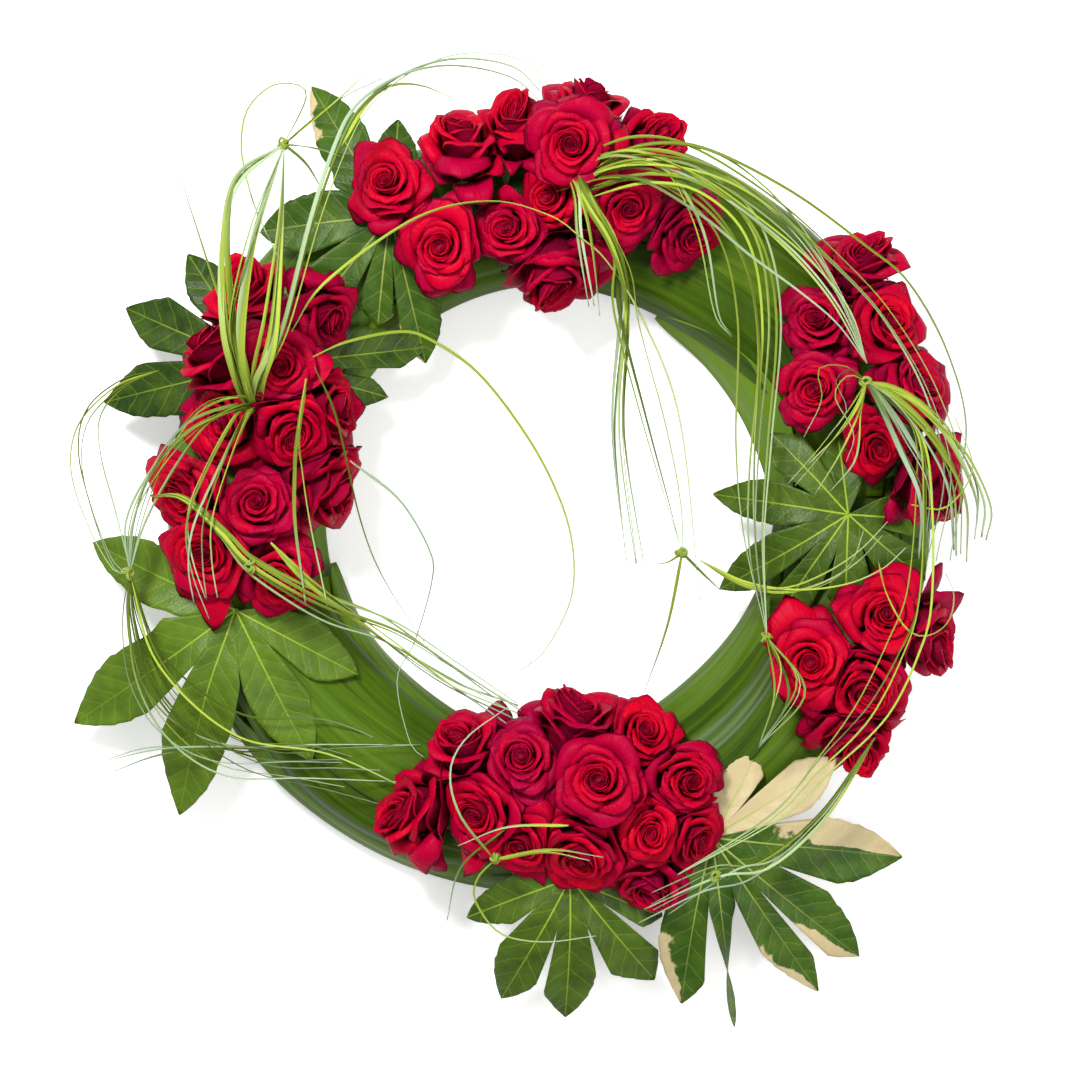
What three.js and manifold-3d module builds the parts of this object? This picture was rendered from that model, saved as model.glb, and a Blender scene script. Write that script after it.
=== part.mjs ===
// Memorial wreath: red roses in five sprays, palmate and strap leaves and bear grass, worked into a soaked foam ring
// that sits in a moulded tray. The wreath lies on its flat back. Millimetres, +Z up out of the wreath's face and +Y
// towards its top. The layout below is set out from the ring's centre; the finished wreath is then moved so that the
// middle of its footprint is the origin.
import * as THREE from "three";
import { mergeVertices } from "three/addons/utils/BufferGeometryUtils.js";
import Module from "manifold-3d";

const wasm = await Module();
wasm.setup();

// ---- Driving dimensions ----
const RING_RADIUS = 242; // from the ring's centre to the middle of its body
const WRAP_RADIUS = 62; // half the width of the leaf-wrapped body
const WRAP_CENTRE = 5; // height of the middle of the body's round section
const FIT_GAP = 0.35; // air between pieces that touch or pass through one another

const CUT_SPECKS = [0.02, 0.031, 0.043]; // grids that weld short edges away: a speck can straddle a cell of one

const FOAM_WIDTH = 100;
const FOAM_RADIUS = 58; // rounds off the foam's top, inside the wrap
const TRAY_WALL = 3;
const TRAY_HEIGHT = 20;
const RING_STEP = 15; // degrees between the flats of everything that goes round the ring
const SECTION_STEP = 30; // degrees between the flats of its round section

const STEM_RADIUS = 2.8;
const STEM_DEPTH = 24; // how far a cut stem is pushed into the foam
const ROOT_HEIGHT = 36; // where upright stalks and ties end inside the foam
const BLOOM_SEGMENTS = 8;
const BLOOM_DEPTH = 0.66; // height of a bloom as a share of its width
const RIM_DIP = 0.93; // how far the rim draws in between two petals

const LEAF_THICKNESS = 1.4;
const STRAP_LEAVES_PER_ROW = 4;
const GRASS_WIDTH = 4;
const GRASS_THICKNESS = 1.6;
const TIE_RADIUS = 7; // the bound foot of a bunch of grass
const TIE_DROP = 9.5; // how far the bound foot ends below its blades' first bend

const ringLine = (angle, radius = RING_RADIUS) =>
  new THREE.Vector3(radius * Math.cos(angle), radius * Math.sin(angle), 0);
const radians = THREE.MathUtils.degToRad;

// ---- Materials ----
const finish = (color, roughness) => new THREE.MeshStandardMaterial({ color, roughness, metalness: 0 });
const rosePetal = finish(0xb00d1c, 0.55);
const glossyLeaf = finish(0x2f5a1f, 0.4);
const variegatedLeaf = finish(0x6d8442, 0.45);
const strapLeaf = finish(0x3f7a24, 0.35);
const grassBlade = finish(0x8fae3c, 0.5);
const floralFoam = finish(0x2c5a33, 0.95);
const trayPlastic = finish(0x1f3b24, 0.5);

// ---- Solids ----

// A closed three.js geometry as a manifold solid, with its faces turned outwards.
function solidOf(geometry, weld = 1e-3) {
  const bare = geometry.clone();
  for (const name of ["normal", "uv"]) bare.deleteAttribute(name);
  const merged = mergeVertices(bare, weld);
  const index = merged.index.array;
  const faces = [];
  for (let i = 0; i < index.length; i += 3) {
    const [a, b, c] = index.subarray(i, i + 3);
    if (a !== b && b !== c && c !== a) faces.push(a, b, c);
  }
  const make = (triangles) =>
    new wasm.Manifold(
      new wasm.Mesh({
        numProp: 3,
        vertProperties: new Float32Array(merged.attributes.position.array),
        triVerts: new Uint32Array(triangles),
      }),
    );
  const made = make(faces);
  return made.volume() > 0 ? made : make(faces.reverse());
}

function bareGeometryOf(solid) {
  const mesh = solid.getMesh();
  const geometry = new THREE.BufferGeometry();
  geometry.setAttribute("position", new THREE.BufferAttribute(mesh.vertProperties, mesh.numProp));
  geometry.setIndex(new THREE.BufferAttribute(mesh.triVerts, 1));
  return geometry;
}

// A cut solid as a mesh for the scene, once the specks that cuts leave along its edges are welded shut.
function geometryOf(solid) {
  const geometry = CUT_SPECKS.reduce((kept, size) => bareGeometryOf(solidOf(kept, size)), bareGeometryOf(solid));
  geometry.computeVertexNormals();
  return geometry;
}

// The largest connected body of a solid: a cut can leave crumbs behind.
function mainBody(solid) {
  const bodies = solid.decompose();
  return bodies.reduce((best, body) => (body.volume() > best.volume() ? body : best));
}

const join = (solids) => wasm.Manifold.union(solids);

function boxesMeet(first, second) {
  const [a, b] = [first.boundingBox(), second.boundingBox()];
  return [0, 1, 2].every((k) => a.min[k] < b.max[k] && b.min[k] < a.max[k]);
}

// What is left of a solid once it makes room for its neighbours.
function clearOf(solid, rooms) {
  const near = rooms.filter((room) => boxesMeet(solid, room));
  return near.length ? mainBody(solid.subtract(join(near))) : solid;
}

// A closed solid through rings of points. Each end is closed by a strip between the two halves of its ring, which
// suits a thin bent section.
function loft(rings) {
  const perRing = rings[0].length;
  const positions = rings.flat().flatMap((p) => [p.x, p.y, p.z]);
  const faces = [];
  for (let r = 0; r + 1 < rings.length; r++) {
    for (let k = 0; k < perRing; k++) {
      const next = (k + 1) % perRing;
      const [a, b] = [r * perRing + k, r * perRing + next];
      faces.push(a, b, a + perRing, b, b + perRing, a + perRing);
    }
  }
  const last = (rings.length - 1) * perRing;
  for (let k = 0; k + 1 < perRing / 2; k++) {
    const [p, q, r, t] = [k, k + 1, perRing - 2 - k, perRing - 1 - k];
    faces.push(p, t, q, q, t, r, last + p, last + q, last + t, last + q, last + r, last + t);
  }
  const geometry = new THREE.BufferGeometry();
  geometry.setAttribute("position", new THREE.Float32BufferAttribute(positions, 3));
  geometry.setIndex(faces);
  return solidOf(geometry);
}

// A round bar between two points.
function bar(from, to, radius, sides = 5) {
  const length = from.distanceTo(to);
  const geometry = new THREE.CylinderGeometry(radius, radius, length, sides);
  const turn = new THREE.Quaternion().setFromUnitVectors(
    new THREE.Vector3(0, 1, 0),
    to.clone().sub(from).normalize(),
  );
  geometry.applyQuaternion(turn);
  geometry.translate(...from.clone().add(to).multiplyScalar(0.5));
  return solidOf(geometry);
}

// A ring turned from a closed profile of [radius, height] points about the vertical axis.
function turned(profile) {
  const points = [...profile, profile[0]].map(([r, z]) => new THREE.Vector2(r, z));
  const geometry = new THREE.LatheGeometry(points, 360 / RING_STEP);
  geometry.rotateX(Math.PI / 2);
  return solidOf(geometry);
}

// ---- Roses ----

// Each bloom is set out by the middle of its face [x, y] and its height above the surface, its width, and the angle
// it leans over and the compass direction it leans towards (0 is +X, 90 is the wreath's top).
const bloom = (x, y, height, width, lean, towards) => ({ x, y, height, width, lean, towards });
const SPRAYS = {
  top: [
    bloom(-129, 256, 118, 62, 16, 130),
    bloom(-70, 294, 112, 60, 46, 105),
    bloom(-29, 308, 102, 54, 52, 88),
    bloom(31, 317, 98, 56, 52, 80),
    bloom(92, 296, 100, 56, 58, 38),
    bloom(16, 277, 158, 66, 4, 260),
    bloom(-37, 215, 124, 58, 22, 190),
    bloom(-86, 199, 134, 68, 12, 235),
    bloom(4, 174, 108, 60, 50, 268),
    bloom(61, 229, 126, 54, 12, 300),
    bloom(115, 208, 106, 58, 42, 325),
    bloom(-4, 240, 116, 56, 28, 205),
  ],
  left: [
    bloom(-240, 182, 100, 54, 52, 105),
    bloom(-207, 106, 152, 60, 10, 300),
    bloom(-261, 121, 104, 56, 48, 150),
    bloom(-268, 62, 120, 64, 26, 200),
    bloom(-197, 53, 128, 64, 32, 280),
    bloom(-162, 78, 108, 54, 50, 10),
    bloom(-170, 14, 100, 58, 54, 325),
    bloom(-289, 8, 106, 58, 40, 180),
    bloom(-228, 6, 134, 62, 14, 110),
    bloom(-270, -38, 124, 68, 16, 225),
    bloom(-208, -60, 116, 62, 18, 290),
    bloom(-168, 146, 104, 52, 42, 330),
  ],
  right: [
    bloom(243, 195, 100, 52, 52, 68),
    bloom(268, 146, 122, 62, 24, 20),
    bloom(201, 90, 140, 68, 12, 200),
    bloom(292, 97, 110, 60, 40, 8),
    bloom(258, 42, 116, 56, 24, 300),
    bloom(312, 14, 96, 60, 54, 335),
    bloom(205, 148, 114, 56, 24, 140),
  ],
  side: [
    bloom(261, -81, 130, 68, 12, 30),
    bloom(304, -108, 92, 58, 60, 325),
    bloom(199, -120, 132, 74, 10, 180),
    bloom(246, -143, 112, 64, 32, 290),
    bloom(243, -193, 92, 58, 62, 285),
  ],
  bottom: [
    bloom(-72, -178, 102, 56, 48, 125),
    bloom(-120, -238, 104, 62, 52, 185),
    bloom(-62, -240, 122, 66, 30, 200),
    bloom(-23, -190, 130, 60, 18, 110),
    bloom(21, -157, 102, 62, 56, 92),
    bloom(77, -170, 114, 56, 30, 60),
    bloom(37, -208, 156, 74, 5, 100),
    bloom(111, -212, 126, 66, 22, 350),
    bloom(78, -253, 130, 56, 12, 300),
    bloom(23, -276, 118, 66, 30, 255),
    bloom(121, -262, 106, 58, 40, 320),
    bloom(78, -301, 94, 54, 46, 275),
    bloom(-22, -262, 106, 54, 24, 240),
  ],
};

// Inside the foam's section.
function inFoam(point) {
  const across = Math.hypot(point.x, point.y) - RING_RADIUS;
  const inRound = Math.hypot(across, point.z - WRAP_CENTRE) < FOAM_RADIUS - 2;
  return inRound && Math.abs(across) < FOAM_WIDTH / 2 && point.z > TRAY_WALL;
}

function placeOf({ x, y, height, width, lean, towards }) {
  const axis = new THREE.Vector3(
    Math.sin(radians(lean)) * Math.cos(radians(towards)),
    Math.sin(radians(lean)) * Math.sin(radians(towards)),
    Math.cos(radians(lean)),
  );
  const face = new THREE.Vector3(x, y, height);
  const base = face.clone().addScaledVector(axis, -width * BLOOM_DEPTH);
  const end = base.clone();
  let inside = 0;
  while (inside < STEM_DEPTH && base.distanceTo(end) < 160 && end.z > TRAY_WALL + 4) {
    end.addScaledVector(axis, -1);
    if (inFoam(end)) inside += 1;
  }
  return { axis, base, end, inside };
}

// A bloom turned about its own stem: a cup whose rim dips between petals, a furrow and a tight heart.
function bloomSolid(width, { axis, base }, extra) {
  const radius = width / 2 + extra;
  const height = width * BLOOM_DEPTH + extra;
  const cup = [
    [0.6, 0.2],
    [1, 0.74],
    [0.84, 0.95],
    [0.48, 0.82],
    [0, 1.02],
  ].map(([r, h]) => [r * radius, h * height]);
  const profile = [[0, -extra], [5 + extra, -extra], ...cup].map(([r, h]) => new THREE.Vector2(r, h));
  const geometry = new THREE.LatheGeometry(profile, BLOOM_SEGMENTS);
  const positions = geometry.attributes.position;
  for (let i = 0; i < positions.count; i++) {
    const between = Math.floor(i / profile.length) % 2 === 1;
    const onRim = [3, 4].includes(i % profile.length);
    if (between && onRim) {
      positions.setX(i, positions.getX(i) * RIM_DIP);
      positions.setZ(i, positions.getZ(i) * RIM_DIP);
    }
  }
  geometry.applyQuaternion(new THREE.Quaternion().setFromUnitVectors(new THREE.Vector3(0, 1, 0), axis));
  geometry.translate(...base);
  return solidOf(geometry);
}

const roses = Object.entries(SPRAYS).flatMap(([spray, blooms]) =>
  blooms.map((entry, i) => {
    const place = placeOf(entry);
    return {
      name: `rose_${spray}_${String(i + 1).padStart(2, "0")}`,
      spray,
      place,
      height: entry.height,
      cup: bloomSolid(entry.width, place, 0),
      cupRoom: bloomSolid(entry.width, place, FIT_GAP),
      stem: bar(place.end, place.base.clone().addScaledVector(place.axis, 4), STEM_RADIUS),
      stemRoom: bar(
        place.end.clone().addScaledVector(place.axis, -FIT_GAP),
        place.base,
        STEM_RADIUS + FIT_GAP,
      ),
    };
  }),
);

// Where two blooms press together, the one further from the face gives way.
const fromTop = [...roses].sort((a, b) => b.height - a.height);
for (const [rank, rose] of fromTop.entries()) {
  const otherStems = roses.filter((other) => other !== rose).map((other) => other.stemRoom);
  const higherCups = fromTop.slice(0, rank).map((other) => other.cupRoom);
  rose.solid = mainBody(join([clearOf(rose.cup, [...otherStems, ...higherCups]), rose.stem]));
}

// ---- Bunches of bear grass ----

// A blade follows the points of its route and tapers to its tip.
function blade(route, width = GRASS_WIDTH, steps = 7) {
  const curve = new THREE.CatmullRomCurve3(route.map((p) => new THREE.Vector3(...p)));
  const rings = [];
  for (let i = 0; i <= steps; i++) {
    const u = i / steps;
    const at = curve.getPointAt(u);
    const along = curve.getTangentAt(u);
    const across = new THREE.Vector3(0, 0, 1).cross(along).normalize();
    if (across.lengthSq() < 0.5) across.set(1, 0, 0);
    const up = along.clone().cross(across);
    const half = (width / 2) * (1 - 0.65 * u * u);
    rings.push([
      at.clone().addScaledVector(across, half),
      at.clone().addScaledVector(up, GRASS_THICKNESS / 2),
      at.clone().addScaledVector(across, -half),
      at.clone().addScaledVector(up, -GRASS_THICKNESS / 2),
    ]);
  }
  return loft(rings);
}

// Grass is tied in bunches. Each tie's foot is pushed into the foam, and its blades are given from the tie outwards.
// The ties on the right share blades, so they hold together as one piece.
const BEAR_GRASS = {
  left: [
    {
      foot: [-230, 82],
      blades: [
        [[-238, 130, 170], [-246, 200, 180], [-240, 262, 166], [-206, 274, 154], [-180, 262, 142]],
        [[-232, 130, 170], [-236, 210, 178], [-226, 262, 162], [-203, 275, 152]],
        [[-226, 130, 172], [-222, 210, 176], [-206, 274, 154], [-160, 310, 150], [-130, 334, 150]],
        [[-219, 132, 173], [-210, 212, 172], [-204, 273, 152]],
        [[-212, 130, 174], [-190, 210, 166], [-160, 290, 144], [-110, 334, 130], [-40, 338, 125]],
        [[-255, 66, 166], [-292, 40, 156], [-310, -20, 128], [-309, -58, 110]],
        [[-248, 50, 166], [-280, 0, 162], [-304, -40, 128], [-308, -60, 110]],
        [[-240, 44, 166], [-262, -20, 162], [-300, -52, 122], [-308, -62, 108]],
      ],
    },
  ],
  right: [
    {
      foot: [42, 252],
      blades: [
        [[70, 264, 150], [130, 262, 155], [190, 205, 160], [225, 140, 158], [242, 118, 144]],
        [[70, 262, 150], [120, 256, 155], [175, 195, 158], [210, 140, 160], [240, 118, 145]],
        [[70, 258, 150], [115, 246, 150], [156, 186, 145], [162, 110, 122], [160, 20, 108], [160, -84, 104]],
        [[70, 256, 150], [110, 240, 150], [148, 185, 145], [154, 100, 118], [152, 10, 106], [158, -86, 102]],
        [[72, 266, 150], [150, 264, 150], [230, 226, 150], [300, 140, 145], [330, 40, 120]],
        [[66, 250, 148], [90, 238, 145], [116, 180, 120], [130, 120, 96], [144, 60, 98], [150, 0, 98]],
      ],
    },
    {
      foot: [242, 118],
      blades: [
        [[246, 96, 158], [278, 74, 158], [306, 40, 150], [326, -10, 130], [330, -60, 90]],
        [[246, 92, 158], [272, 62, 158], [296, 20, 148], [310, -30, 125], [306, -70, 96]],
        [[244, 90, 158], [276, 40, 152], [290, -20, 150], [284, -66, 160], [254, -140, 158], [211, -193, 154], [98, -282, 136]],
        [[240, 88, 158], [216, 56, 160], [196, 20, 140], [182, -30, 116]],
      ],
    },
    {
      foot: [98, -282],
      blades: [
        [[112, -276, 150], [150, -268, 150], [200, -240, 140], [240, -200, 130], [262, -160, 140]],
        [[112, -280, 150], [150, -274, 148], [196, -250, 138], [236, -222, 120]],
        [[110, -284, 148], [140, -282, 140], [190, -270, 110], [232, -246, 80]],
      ],
    },
  ],
};

function tieSolids({ foot: [x, y], blades }) {
  const top = Math.min(...blades.map(([first]) => first[2])) - TIE_DROP;
  const tie = new THREE.Vector3(x, y, top);
  const floor = new THREE.Vector3(x, y, ROOT_HEIGHT);
  return {
    room: bar(floor.clone().setZ(floor.z - FIT_GAP), tie, TIE_RADIUS + FIT_GAP, 8),
    parts: [bar(floor, tie, TIE_RADIUS, 8), ...blades.map((route) => blade([[x, y, top - TIE_DROP / 2], ...route]))],
  };
}

const bunches = Object.entries(BEAR_GRASS).map(([side, entries]) => {
  const ties = entries.map(tieSolids);
  return { name: `bear_grass_${side}`, solid: join(ties.flatMap((tie) => tie.parts)), rooms: ties.map((tie) => tie.room) };
});

// ---- Palmate leaves ----

// A leaf's lobes spread from its hub. A lobe is [direction, length, half width, height of its tip].
const PALMATE_LEAVES = {
  leaf_left: {
    hub: [-225, 112, 80],
    lobes: [[125, 107, 20, 55], [159, 120, 24, 42], [192, 131, 24, 42], [50, 88, 22, 72], [6, 128, 22, 50], [-13, 100, 18, 48]],
    finish: glossyLeaf,
  },
  variegated_leaf_top: {
    hub: [-125, 228, 80],
    lobes: [[85, 78, 17, 62], [124, 118, 23, 46], [184, 104, 24, 66], [230, 98, 30, 76], [262, 84, 26, 62], [284, 116, 24, 44]],
    finish: variegatedLeaf,
  },
  leaf_lower_left: {
    hub: [-246, -80, 80],
    lobes: [[157, 128, 24, 40], [216, 160, 31, 30], [250, 170, 30, 34], [296, 132, 27, 74], [332, 108, 27, 72]],
    finish: glossyLeaf,
  },
  leaf_bottom: {
    hub: [16, -290, 78],
    lobes: [[200, 88, 17, 60], [242, 114, 24, 30], [270, 115, 25, 28], [308, 108, 26, 30], [336, 80, 22, 52]],
    finish: glossyLeaf,
  },
  variegated_leaf_bottom: {
    hub: [127, -258, 80],
    lobes: [
      [257, 137, 26, 32],
      [277, 156, 12, 24],
      [304, 153, 22, 26],
      [320, 154, 28, 34],
      [354, 153, 27, 46],
      [31, 116, 22, 84],
      [60, 74, 19, 72],
    ],
    finish: variegatedLeaf,
  },
  leaf_right: {
    hub: [233, -5, 85],
    lobes: [
      [97, 60, 17, 79],
      [132, 88, 22, 74],
      [171, 105, 22, 46],
      [212, 115, 24, 44],
      [234, 110, 27, 62],
      [268, 78, 22, 80],
      [318, 81, 22, 58],
      [356, 76, 19, 52],
    ],
    finish: glossyLeaf,
  },
};
const LOBE_STATIONS = [0, 0.3, 0.6, 0.85, 1];
const LOBE_WIDTHS = [0.18, 0.66, 1, 0.62, 0.06];
const LOBE_FOLD = 0.12; // how far a lobe's edges rise above its rib, as a share of its half width

function lobeSolid([hx, hy, hz], [direction, length, half, tipHeight]) {
  const out = new THREE.Vector3(Math.cos(radians(direction)), Math.sin(radians(direction)), 0);
  const side = new THREE.Vector3(-out.y, out.x, 0);
  const rings = LOBE_STATIONS.map((s, i) => {
    const height = hz + (tipHeight - hz) * s ** 1.7;
    const rib = new THREE.Vector3(hx, hy, height).addScaledVector(out, length * s);
    const reach = half * LOBE_WIDTHS[i];
    const edge = (sign) => rib.clone().addScaledVector(side, sign * reach).setZ(height + LOBE_FOLD * reach);
    const underRib = rib.clone().setZ(height - LEAF_THICKNESS);
    return [edge(1), rib, edge(-1), underRib];
  });
  return loft(rings);
}

// The stalk drops from the hub straight into the foam.
function palmateSolid({ hub, lobes }) {
  const [x, y, z] = hub;
  const stalkEnd = new THREE.Vector3(x, y, ROOT_HEIGHT);
  const stalkTop = new THREE.Vector3(x, y, z - LEAF_THICKNESS / 2);
  return {
    solid: join([...lobes.map((lobe) => lobeSolid(hub, lobe)), bar(stalkEnd, stalkTop, STEM_RADIUS)]),
    room: bar(stalkEnd.clone().setZ(stalkEnd.z - FIT_GAP), stalkTop, STEM_RADIUS + FIT_GAP),
  };
}

const palmateLeaves = Object.entries(PALMATE_LEAVES).map(([name, entry]) => ({ name, ...entry, ...palmateSolid(entry) }));

// ---- Strap leaves wrapped round the ring ----

// A point of the wrapped body's faceted skin: compass angle round the ring, and turn over its section from the outer
// edge (0) to the inner (180).
function wrapPoint(angle, turn, radius) {
  const before = SECTION_STEP * Math.min(Math.floor(turn / SECTION_STEP), 180 / SECTION_STEP - 1);
  const corner = (at) => new THREE.Vector2(Math.cos(radians(at)), Math.sin(radians(at))).multiplyScalar(radius);
  const on = corner(before).lerp(corner(before + SECTION_STEP), (turn - before) / SECTION_STEP);
  return ringLine(radians(angle), RING_RADIUS + on.x).setZ(WRAP_CENTRE + on.y);
}

const sectionTurns = Array.from({ length: 180 / SECTION_STEP + 1 }, (_, k) => k * SECTION_STEP);

// One leaf lies along the ring, bent over the section, with its foot over the tip of the leaf before it.
function strapLeafSolid(start, steps, [from, to], lift) {
  const middle = (from + to) / 2;
  const rings = [];
  for (let i = 0; i <= steps; i++) {
    const u = i / steps;
    const share = Math.max(0.05, Math.sin(Math.PI * Math.min(1, 0.12 + 0.9 * u)) ** 0.6);
    const low = middle + (from - middle) * share;
    const high = middle + (to - middle) * share;
    const turns = [low, ...sectionTurns.map((turn) => THREE.MathUtils.clamp(turn, low, high)), high];
    const layer = WRAP_RADIUS + lift + (i < 2 ? LEAF_THICKNESS / 2 : 0);
    const trim = i === 0 ? 0.1 : i === steps ? -0.2 : 0; // its ends stop off the flats that other leaves turn on
    const angle = start + (i + trim) * RING_STEP;
    rings.push([
      ...turns.map((turn) => wrapPoint(angle, turn, layer + LEAF_THICKNESS)),
      ...turns.reverse().map((turn) => wrapPoint(angle, turn, layer)),
    ]);
  }
  return loft(rings);
}

function strapRow(band, lift, start) {
  const spacing = 360 / STRAP_LEAVES_PER_ROW;
  const steps = spacing / RING_STEP + 1;
  const starts = Array.from({ length: STRAP_LEAVES_PER_ROW }, (_, k) => start + k * spacing);
  return join(starts.map((angle) => strapLeafSolid(angle, steps, band, lift)));
}

// ---- Ring ----

const foamHalf = FOAM_WIDTH / 2;
const trayInside = foamHalf + FIT_GAP;
const trayOutside = trayInside + TRAY_WALL;
const ringProfile = (points) => points.map(([r, z]) => [RING_RADIUS + r, z]);
const tray = turned(
  ringProfile([
    [-trayOutside, 0],
    [trayOutside, 0],
    [trayOutside, TRAY_HEIGHT],
    [trayInside, TRAY_HEIGHT],
    [trayInside, TRAY_WALL],
    [-trayInside, TRAY_WALL],
    [-trayInside, TRAY_HEIGHT],
    [-trayOutside, TRAY_HEIGHT],
  ]),
);
const foamCrown = sectionTurns
  .filter((turn) => turn > 0 && turn < 180)
  .map((turn) => [FOAM_RADIUS * Math.cos(radians(turn)), WRAP_CENTRE + FOAM_RADIUS * Math.sin(radians(turn))]);
const foamFloor = TRAY_WALL + FIT_GAP;
const foamBlank = turned(ringProfile([[-foamHalf, foamFloor], [foamHalf, foamFloor], ...foamCrown]));

// ---- Assembly: what is pushed in goes through leaves and foam, and each layer is cut clear of the ones above ----

const lifted = (solid) => [solid, solid.translate(0, 0, FIT_GAP), solid.translate(0, 0, -FIT_GAP)];
const roseRooms = roses.flatMap((rose) => [rose.stemRoom, rose.cupRoom]);
const stalkRooms = palmateLeaves.map((leaf) => leaf.room);
const footRooms = bunches.flatMap((bunch) => bunch.rooms);
const pushedIn = [...roses.map((rose) => rose.stemRoom), ...stalkRooms, ...footRooms];

// The inner row lies on the edge of the outer one and is bound to it.
const wrap = join([strapRow([4, 94], 0, 15), strapRow([84, 176], 0.9, 60)]);

const nodes = [];
const addNode = (name, solid, material, spray) => nodes.push({ name, solid, material, spray });

function reportLoss(name, before, after) {
  const share = after.volume() / before.volume();
  if (share < 0.8) console.warn(`${name} keeps ${(100 * share).toFixed(0)}% of its volume`);
}

addNode("base_tray", tray, trayPlastic);
addNode("foam_ring", clearOf(foamBlank, pushedIn), floralFoam);
addNode("strap_leaf_wrap", clearOf(wrap, [...roseRooms, ...stalkRooms, ...footRooms]), strapLeaf);

const lower = lifted(wrap);
for (const leaf of palmateLeaves) {
  const otherStalks = stalkRooms.filter((room) => room !== leaf.room);
  const underneath = lower.filter((solid) => boxesMeet(solid, leaf.solid)).map((solid) => solid.subtract(leaf.room));
  const cut = clearOf(leaf.solid, [...roseRooms, ...otherStalks, ...footRooms, ...underneath]);
  reportLoss(leaf.name, leaf.solid, cut);
  lower.push(...lifted(cut));
  addNode(leaf.name, cut, leaf.finish);
}

for (const rose of roses) {
  if (rose.place.inside < STEM_DEPTH) console.warn(`${rose.name}: stem is only ${rose.place.inside} mm in the foam`);
  const cut = clearOf(rose.solid, [...stalkRooms, ...footRooms]);
  reportLoss(rose.name, join([rose.cup, rose.stem]), cut);
  addNode(rose.name, cut, rosePetal, rose.spray);
}

lower.push(...roseRooms);
for (const { name, solid, rooms } of bunches) {
  const ownRooms = join(rooms);
  const underneath = lower.filter((other) => boxesMeet(other, solid)).map((other) => other.subtract(ownRooms));
  const cut = clearOf(solid, underneath);
  reportLoss(name, solid, cut);
  lower.push(...lifted(cut));
  addNode(name, cut, grassBlade);
}

const wreath = new THREE.Group();
const sprayGroups = {};
for (const { name, solid, material, spray } of nodes) {
  const mesh = new THREE.Mesh(geometryOf(solid), material);
  mesh.name = name;
  const parent = spray ? (sprayGroups[spray] ??= new THREE.Group()) : wreath;
  parent.add(mesh);
}
for (const group of Object.values(sprayGroups)) wreath.add(group);

const footprint = new THREE.Box3().setFromObject(wreath);
const middle = footprint.getCenter(new THREE.Vector3());
wreath.position.set(-middle.x, -middle.y, 0);

export default wreath;
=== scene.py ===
"""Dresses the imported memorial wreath: red roses, leaves and bear grass on a foam ring in its tray.

The wreath lies on its flat back and the camera looks straight down on it. Sizes are in millimetres and are
turned to metres by mm(). Places are set out from the middle of the ring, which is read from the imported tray.
"""

from __future__ import annotations

import logging
import math
from collections.abc import Callable, Sequence
from dataclasses import dataclass, field
from enum import Enum
from functools import partial

import bpy
import numpy as np
from mathutils import Matrix, Vector

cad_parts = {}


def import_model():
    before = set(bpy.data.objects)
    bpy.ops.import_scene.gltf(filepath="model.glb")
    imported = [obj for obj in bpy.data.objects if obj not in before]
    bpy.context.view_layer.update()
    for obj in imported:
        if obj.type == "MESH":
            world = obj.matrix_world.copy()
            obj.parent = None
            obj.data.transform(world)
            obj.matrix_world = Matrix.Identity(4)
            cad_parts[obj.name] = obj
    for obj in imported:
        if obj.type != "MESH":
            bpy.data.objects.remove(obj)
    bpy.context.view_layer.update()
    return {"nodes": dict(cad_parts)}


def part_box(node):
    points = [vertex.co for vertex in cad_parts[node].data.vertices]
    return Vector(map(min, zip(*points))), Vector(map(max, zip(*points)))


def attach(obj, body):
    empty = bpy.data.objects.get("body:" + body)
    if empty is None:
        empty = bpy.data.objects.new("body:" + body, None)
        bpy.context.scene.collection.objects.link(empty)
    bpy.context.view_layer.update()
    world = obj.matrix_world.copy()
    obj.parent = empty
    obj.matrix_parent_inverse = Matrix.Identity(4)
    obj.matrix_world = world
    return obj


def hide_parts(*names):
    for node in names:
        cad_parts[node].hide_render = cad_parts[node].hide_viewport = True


LOG = logging.getLogger("wreath")
Obj = bpy.types.Object
Socket = bpy.types.NodeSocket
# A finish's colour, its relief's height, the relief's strength and its depth in millimetres.
Look = tuple[Socket, Socket, float, float]
Surface = Callable[[np.ndarray, np.ndarray], np.ndarray]
Point = tuple[float, float, float]
NodeMaker = Callable[..., bpy.types.Node]


def mm(value: float) -> float:
    """Millimetres as metres."""
    return value / 1000.0


def linear(hex_code: str) -> tuple[float, float, float, float]:
    """Turns an sRGB hex colour to linear light.

    Args:
        hex_code: Six hex digits, without a hash.

    Returns:
        Linear red, green and blue, and an alpha of 1.
    """
    channels = [int(hex_code[i : i + 2], 16) / 255 for i in (0, 2, 4)]
    red, green, blue = (c / 12.92 if c <= 0.04045 else ((c + 0.055) / 1.055) ** 2.4 for c in channels)
    return red, green, blue, 1.0


def unit(vector: np.ndarray) -> np.ndarray:
    """Vectors at unit length, along their last axis."""
    return vector / np.maximum(np.linalg.norm(vector, axis=-1, keepdims=True), 1e-12)


def smooth_step(value: np.ndarray, low: float, high: float) -> np.ndarray:
    """0 below low, 1 above high and an S-curve between."""
    share = np.clip((value - low) / (high - low), 0, 1)
    return share * share * (3 - 2 * share)


# ---- Mesh work ----


def deselect_all() -> None:
    """Leaves nothing selected, so that an operator only acts on what is made next."""
    for obj in bpy.context.selected_objects:
        obj.select_set(False)


def pick(*objects: Obj) -> None:
    """Selects some objects alone, the first of them active.

    Args:
        objects: The objects to select.
    """
    deselect_all()
    for obj in objects:
        obj.select_set(True)
    bpy.context.view_layer.objects.active = objects[0]


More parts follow.
